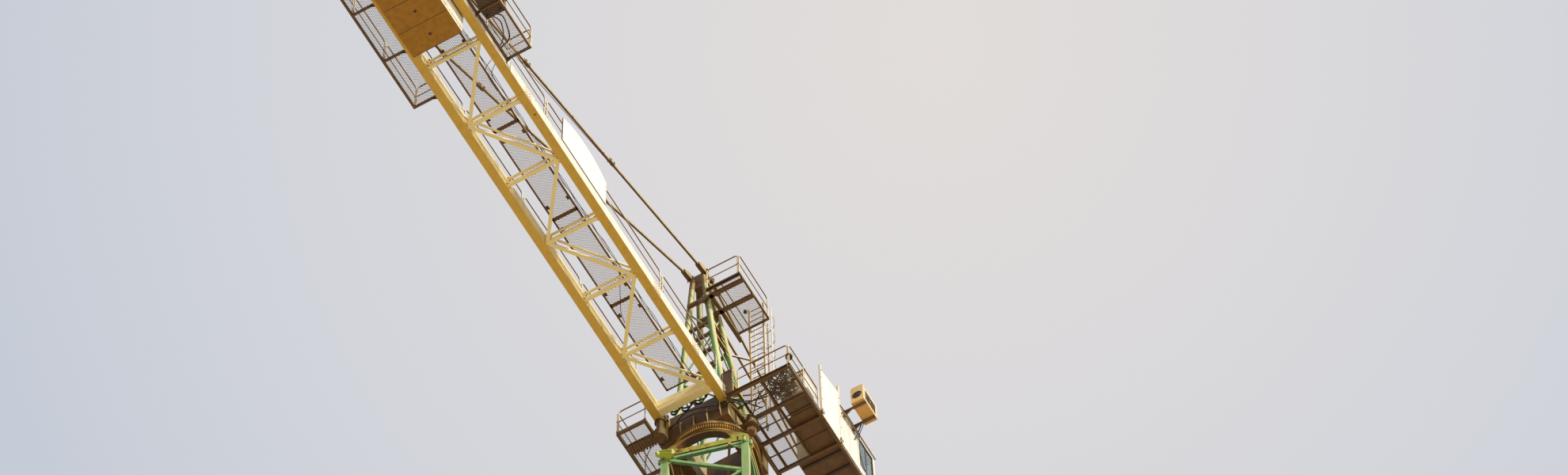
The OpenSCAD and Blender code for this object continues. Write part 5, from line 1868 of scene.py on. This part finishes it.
def makeCooler(s):
    white, guard, iron = bmesh.new(), bmesh.new(), bmesh.new()
    (x0, x1), (y0, y1) = s["x"], s["y"]
    z = deck + s["z"]
    mid, wall = (y0 + y1) / 2, cabSet["y"][0]
    fan = z + s["height"] * s["fanShare"]
    for radius in (0.076, 0.06, 0.045, 0.03):
        addRing(guard, (x0 - 0.004, mid, fan), (1, 0, 0), radius, 0.0035, 28, 5)
    hub = Vector((x0 - 0.004, mid, fan))
    for k in range(4):
        t = math.pi * k / 4
        out = Vector((0, math.cos(t), math.sin(t))) * 0.078
        addRound(guard, hub - out, hub + out, 0.0035, 6)
    for k in range(5):
        t = 2 * math.pi * k / 5
        out, side = Vector((0, math.cos(t), math.sin(t))), Vector((0, -math.sin(t), math.cos(t)))
        c = Vector((x0 + 0.014, mid, fan))
        addPlate(guard, [c + out * 0.02 - side * 0.01, c + out * 0.07 - side * 0.022, c + out * 0.07 + side * 0.022,
                         c + out * 0.02 + side * 0.01], (0.004, 0, 0))
    for x in (x0 + 0.1, x0 + 0.2, x0 + 0.3):
        addBox(white, (x, y0 - 0.003, z + 0.02), (x + 0.004, y0 + 0.001, z + s["height"] - 0.05))
    addLouvres(white, (x0 + 0.06, x1 - 0.06), (y0 - 0.007, y0 + 0.01), z + 0.066, 7, 0.032, 0.012, 0.002)
    for x in (x0 + 0.05, x1 - 0.09):
        addBox(iron, (x - 0.006, y0 - 0.006, z - 0.032), (x + 0.034, y1 + 0.004, z - 0.026))
        addSheet(iron, "x", x + 0.01, [(wall, z - 0.03), (-1.68, z - 0.03), (wall, z - 0.17)], 0.008)
        addBox(iron, (x - 0.02, s["pad"], z - 0.19), (x + 0.048, wall, z + 0.02))
        for dz in (-0.16, -0.01):
            for dx in (-0.01, 0.038):
                addBolt(iron, (x + dx, s["pad"], z + dz), (0, -1, 0), 0.009)
    makePiece("coolerPanels", white, "white_paint")
    makePiece("coolerGuard", guard, "dark_steel")
    makePiece("coolerBrackets", iron, "brown_paint", bevel=0.001)
    lines = bmesh.new()
    for size, points in s["lines"]:
        addCable(lines, [(x1 + x, y, z + dz) for x, y, dz in points], size, 8)
    makePiece("coolerLines", lines, "cable_rubber")


makeCooler(coolerSet)


# Cabinet on the cab platform: handles, hinges, vents, drip edge, lifting eyes and cable glands
def makeCabinet(s):
    white, iron = bmesh.new(), bmesh.new()
    (x0, x1), (y0, y1) = s["x"], s["y"]
    z = deck + s["z"]
    for y in (y0 + 0.16, y0 + 0.215):
        addBox(iron, (x0 - 0.016, y - 0.008, z + 0.28), (x0 - 0.006, y + 0.008, z + 0.4))
    for y in (y0 + 0.014, y1 - 0.014):
        for dz in (0.1, 0.3, 0.5):
            addPost(iron, (x0 - 0.01, y), z + dz, z + dz + 0.04, 0.012, 8)
    for y in (y0 + 0.05, y0 + 0.24):
        for k in range(5):
            zi = z + 0.46 + k * 0.016
            addPlate(white, [(x0 - 0.013, y, zi), (x0 - 0.013, y + 0.09, zi), (x0 - 0.006, y + 0.09, zi + 0.01),
                             (x0 - 0.006, y, zi + 0.01)], (0, 0, 0.0015))
    addLouvres(white, (x0 + 0.05, x1 - 0.05), (y0 - 0.007, y0), z + 0.1, 6, 0.02, 0.012, 0.0015)
    addBox(white, (x0 - 0.018, y0 - 0.014, z + s["height"] - 0.03), (x1 + 0.018, y0 - 0.01, z + s["height"] - 0.018))
    for x, y in ((x0 + 0.03, y0 + 0.03), (x1 - 0.03, y0 + 0.03), (x0 + 0.03, y1 - 0.03), (x1 - 0.03, y1 - 0.03)):
        addRing(iron, (x, y, z + s["height"] + 0.012), (1, 0, 0), 0.012, 0.005, 14, 6)
    for k in range(6):
        addRound(iron, (x1, y0 + 0.06 + k * 0.05, z + 0.09), (x1 + 0.022, y0 + 0.06 + k * 0.05, z + 0.09), 0.024, 10)
    makePiece("cabinetVents", white, "white_paint")
    makePiece("cabinetIrons", iron, "dark_steel")


makeCabinet(cabinetSet)


# Screen sheet: folded rim, stiffening ribs and bolts on its posts
def makeScreen(s):
    bm, nuts = bmesh.new(), bmesh.new()
    x0, x1 = s["x"]
    y = s["y"]
    for z in (0.05, 0.42, 0.8):
        addBox(bm, (x0 + 0.03, y - 0.012, deck + z), (x1 - 0.03, y - 0.003, deck + z + 0.02))
    a = Vector((x0 + 0.029, y - 0.017, deck + s["high"] - 0.11))
    b = Vector((x1 - 0.029, y - 0.017, deck + s["high"]))
    addBar(bm, a, b, 0.014, 0.014)
    for x in (x0 + 0.015, x1 - 0.015):
        for z in (0.02, 0.3, 0.6, 0.9, 1.1):
            addBolt(nuts, (x, y - 0.03, deck + z), (0, -1, 0), 0.008)
    for x in (x0 + 0.015, x1 - 0.015):
        addBox(nuts, (x - 0.035, y - 0.036, deck - 0.075), (x + 0.035, y - 0.03, deck - 0.005))
        for dx in (-0.024, 0.024):
            for dz in (-0.058, -0.022):
                addBolt(nuts, (x + dx, y - 0.036, deck + dz), (0, -1, 0), 0.008)
    makePiece("screenRibs", bm, "white_paint", bevel=0.001)
    makePiece("screenNuts", nuts, "brown_paint")


makeScreen(screenSet)


# Edge panel's rim and latch, and the lamp that hangs at the corner of the cab platform
edgeSet = {"x": -0.639, "y": (-0.65, -0.465), "top": 0.625,
           "lamp": [((-0.56, -1.5, 0.36), (-0.56, -1.5, 0.56), 0.014, 8),
                    ((-0.575, -1.51, 0.30), (-0.56, -1.5, 0.38), 0.05, 14),
                    ((-0.6, -1.515, 0.22), (-0.575, -1.51, 0.30), 0.1, 16)]}


def makeEdge(s):
    bm, lamp = bmesh.new(), bmesh.new()
    y0, y1 = s["y"]
    for y in (y0 + 0.01, y1 - 0.03):
        addBox(bm, (s["x"] - 0.006, y, deck + 0.26), (s["x"], y + 0.018, deck + s["top"] - 0.05))
    addBox(bm, (s["x"] - 0.006, y0 + 0.01, deck + s["top"] - 0.05), (s["x"], y1 - 0.05, deck + s["top"] - 0.032))
    for z in (0.3, 0.52):
        addPost(bm, (s["x"] - 0.008, y0 + 0.004), deck + z, deck + z + 0.06, 0.016, 10)
    makePiece("edgePanelRim", bm, "brown_paint")
    for a, b, size, sides in s["lamp"]:
        addRound(lamp, (*a[:2], deck + a[2]), (*b[:2], deck + b[2]), size, sides)
    makePiece("platformLamp", lamp, "dark_steel")


makeEdge(edgeSet)
print("cab, cooler, cabinet and screen detailed")


# Cables on the walkway and under the left platform, z from the deck: the walkway's points and the first arc
# were measured in the photo, the second arc is a guess
cableSet = {"walkway": [[(-6.855, 0.15, 0.22), (-6.76, 0.12, 0.22), (-6.36, 0.02, 0.22), (-5.92, -0.085, 0.22),
                         (-5.605, -0.165, 0.22)],
                        [(-6.535, -0.335, 0.2), (-6.465, -0.205, 0.2), (-6.35, -0.17, 0.2), (-6.135, -0.165, 0.2),
                         (-5.895, -0.205, 0.2), (-5.615, -0.17, 0.2)],
                        [(-6.46, -0.35, 0.2), (-6.38, -0.25, 0.2), (-6.295, -0.21, 0.2)],
                        [(-3.09, -0.21, 0.21), (-2.9, -0.17, 0.21), (-2.58, 0.005, 0.21), (-2.36, 0.12, 0.21),
                         (-2.195, 0.155, 0.21)]],
            "arcs": [[(-0.23, 0.97, -0.05), (-0.435, 0.815, -0.16), (-0.51, 0.645, -0.12), (-0.475, 0.51, 0.02)],
                     [(-0.3, 0.92, -0.04), (-0.47, 0.76, -0.13), (-0.54, 0.62, -0.1), (-0.5, 0.5, 0.02)]],
            "bundle": {"y": -0.245, "z": 0.2, "x": (-7.32, -0.8), "step": 0.42, "sag": 0.012, "size": 0.008}}


def makeCables(s):
    bm = bmesh.new()
    for points in s["walkway"] + s["arcs"]:
        addCable(bm, [(x, y, deck + z) for x, y, z in points], 0.009)
    b = s["bundle"]
    count = int((b["x"][1] - b["x"][0]) / b["step"])
    for k in range(3):
        points = []
        for i in range(count * 2 + 1):
            x = b["x"][0] + (b["x"][1] - b["x"][0]) * i / (count * 2)
            wave = 0.008 * math.sin(i * 2.3 + k * 2.1)
            points.append((x, b["y"] + 0.012 * k + wave, deck + b["z"] - (b["sag"] if i % 2 else 0) + 0.004 * k))
        addCable(bm, points, b["size"], 6, 3)
    makePiece("walkwayCables", bm, "dark_steel", "upper")


makeCables(cableSet)


# Loose coils and hoses round the turntable, the end beam and the corner of the cab platform
massSet = {"coils": [(-0.74, -0.2, 0.1, 0.11), (-0.735, 0.02, 0.08, 0.1), (-0.74, 0.2, 0.11, 0.09)],
           "hoses": [[(-0.62, -0.42, 0.12), (-0.5, -0.62, -0.02), (-0.36, -0.78, 0.02), (-0.3, -1.02, 0.04)],
                     [(-0.55, -0.3, 0.02), (-0.62, -0.55, -0.16), (-0.45, -0.72, -0.1), (-0.2, -0.86, 0.0)],
                     [(-0.55, 0.3, 0.06), (-0.7, 0.05, -0.08), (-0.66, -0.25, -0.12), (-0.55, -0.46, -0.08)],
                     [(-0.55, 0.42, 0.0), (-0.66, 0.2, -0.16), (-0.68, -0.1, -0.2), (-0.55, -0.4, -0.18)],
                     [(-0.3, -0.53, 0.1), (-0.42, -0.68, -0.14), (-0.6, -0.6, -0.2), (-0.55, -0.4, -0.16)],
                     [(-0.15, -0.53, -0.02), (-0.26, -0.74, -0.18), (-0.4, -0.9, -0.06), (-0.46, -1.1, 0.03)]],
           "pipes": [[(-0.59, -0.51, -0.05), (-0.43, -0.545, -0.05), (-0.295, -0.565, -0.05), (-0.16, -0.625, -0.05),
                      (-0.125, -0.73, -0.05)],
                     [(-0.6, -0.51, -0.08), (-0.43, -0.56, -0.08), (-0.28, -0.61, -0.08), (-0.2, -0.73, -0.06)]],
           "corner": {"x": (-0.54, -0.16), "y": (-1.46, -1.0), "z": (0.02, 0.2), "edge": -0.59, "cabinet": -0.11,
                      "loops": 14, "size": 0.013}}


def makeMass(s):
    bm = bmesh.new()
    for x, y, z, radius in s["coils"]:
        for k in range(5):
            turn = random.Random(k).uniform(-0.25, 0.25)
            place = (x + 0.013 * k, y + 0.01 * k, deck + z + 0.004 * k)
            addRing(bm, place, (1, turn, 0.15 - turn), radius - 0.006 * k, 0.013)
    for points in s["hoses"]:
        addCable(bm, [(x, y, deck + z) for x, y, z in points], 0.018, 8)
    c = s["corner"]
    pick = random.Random(7)
    for k in range(c["loops"]):
        points = [(c["edge"], pick.uniform(*c["y"]), deck - 0.01)]
        for i in range(6):
            points.append((pick.uniform(*c["x"]), pick.uniform(*c["y"]), deck + pick.uniform(*c["z"])))
        points.append((c["cabinet"], pick.uniform(c["y"][0] + 0.06, c["y"][1] - 0.2), deck + 0.1))
        addCable(bm, points, c["size"], 6, 4)
    makePiece("looseCables", bm, "cable_rubber", "upper")
    bm = bmesh.new()
    for points in s["pipes"]:
        addCable(bm, [(x, y, deck + z) for x, y, z in points], 0.016, 8)
    makePiece("conduits", bm, "inner_cream", "upper")


makeMass(massSet)
print("cables made")
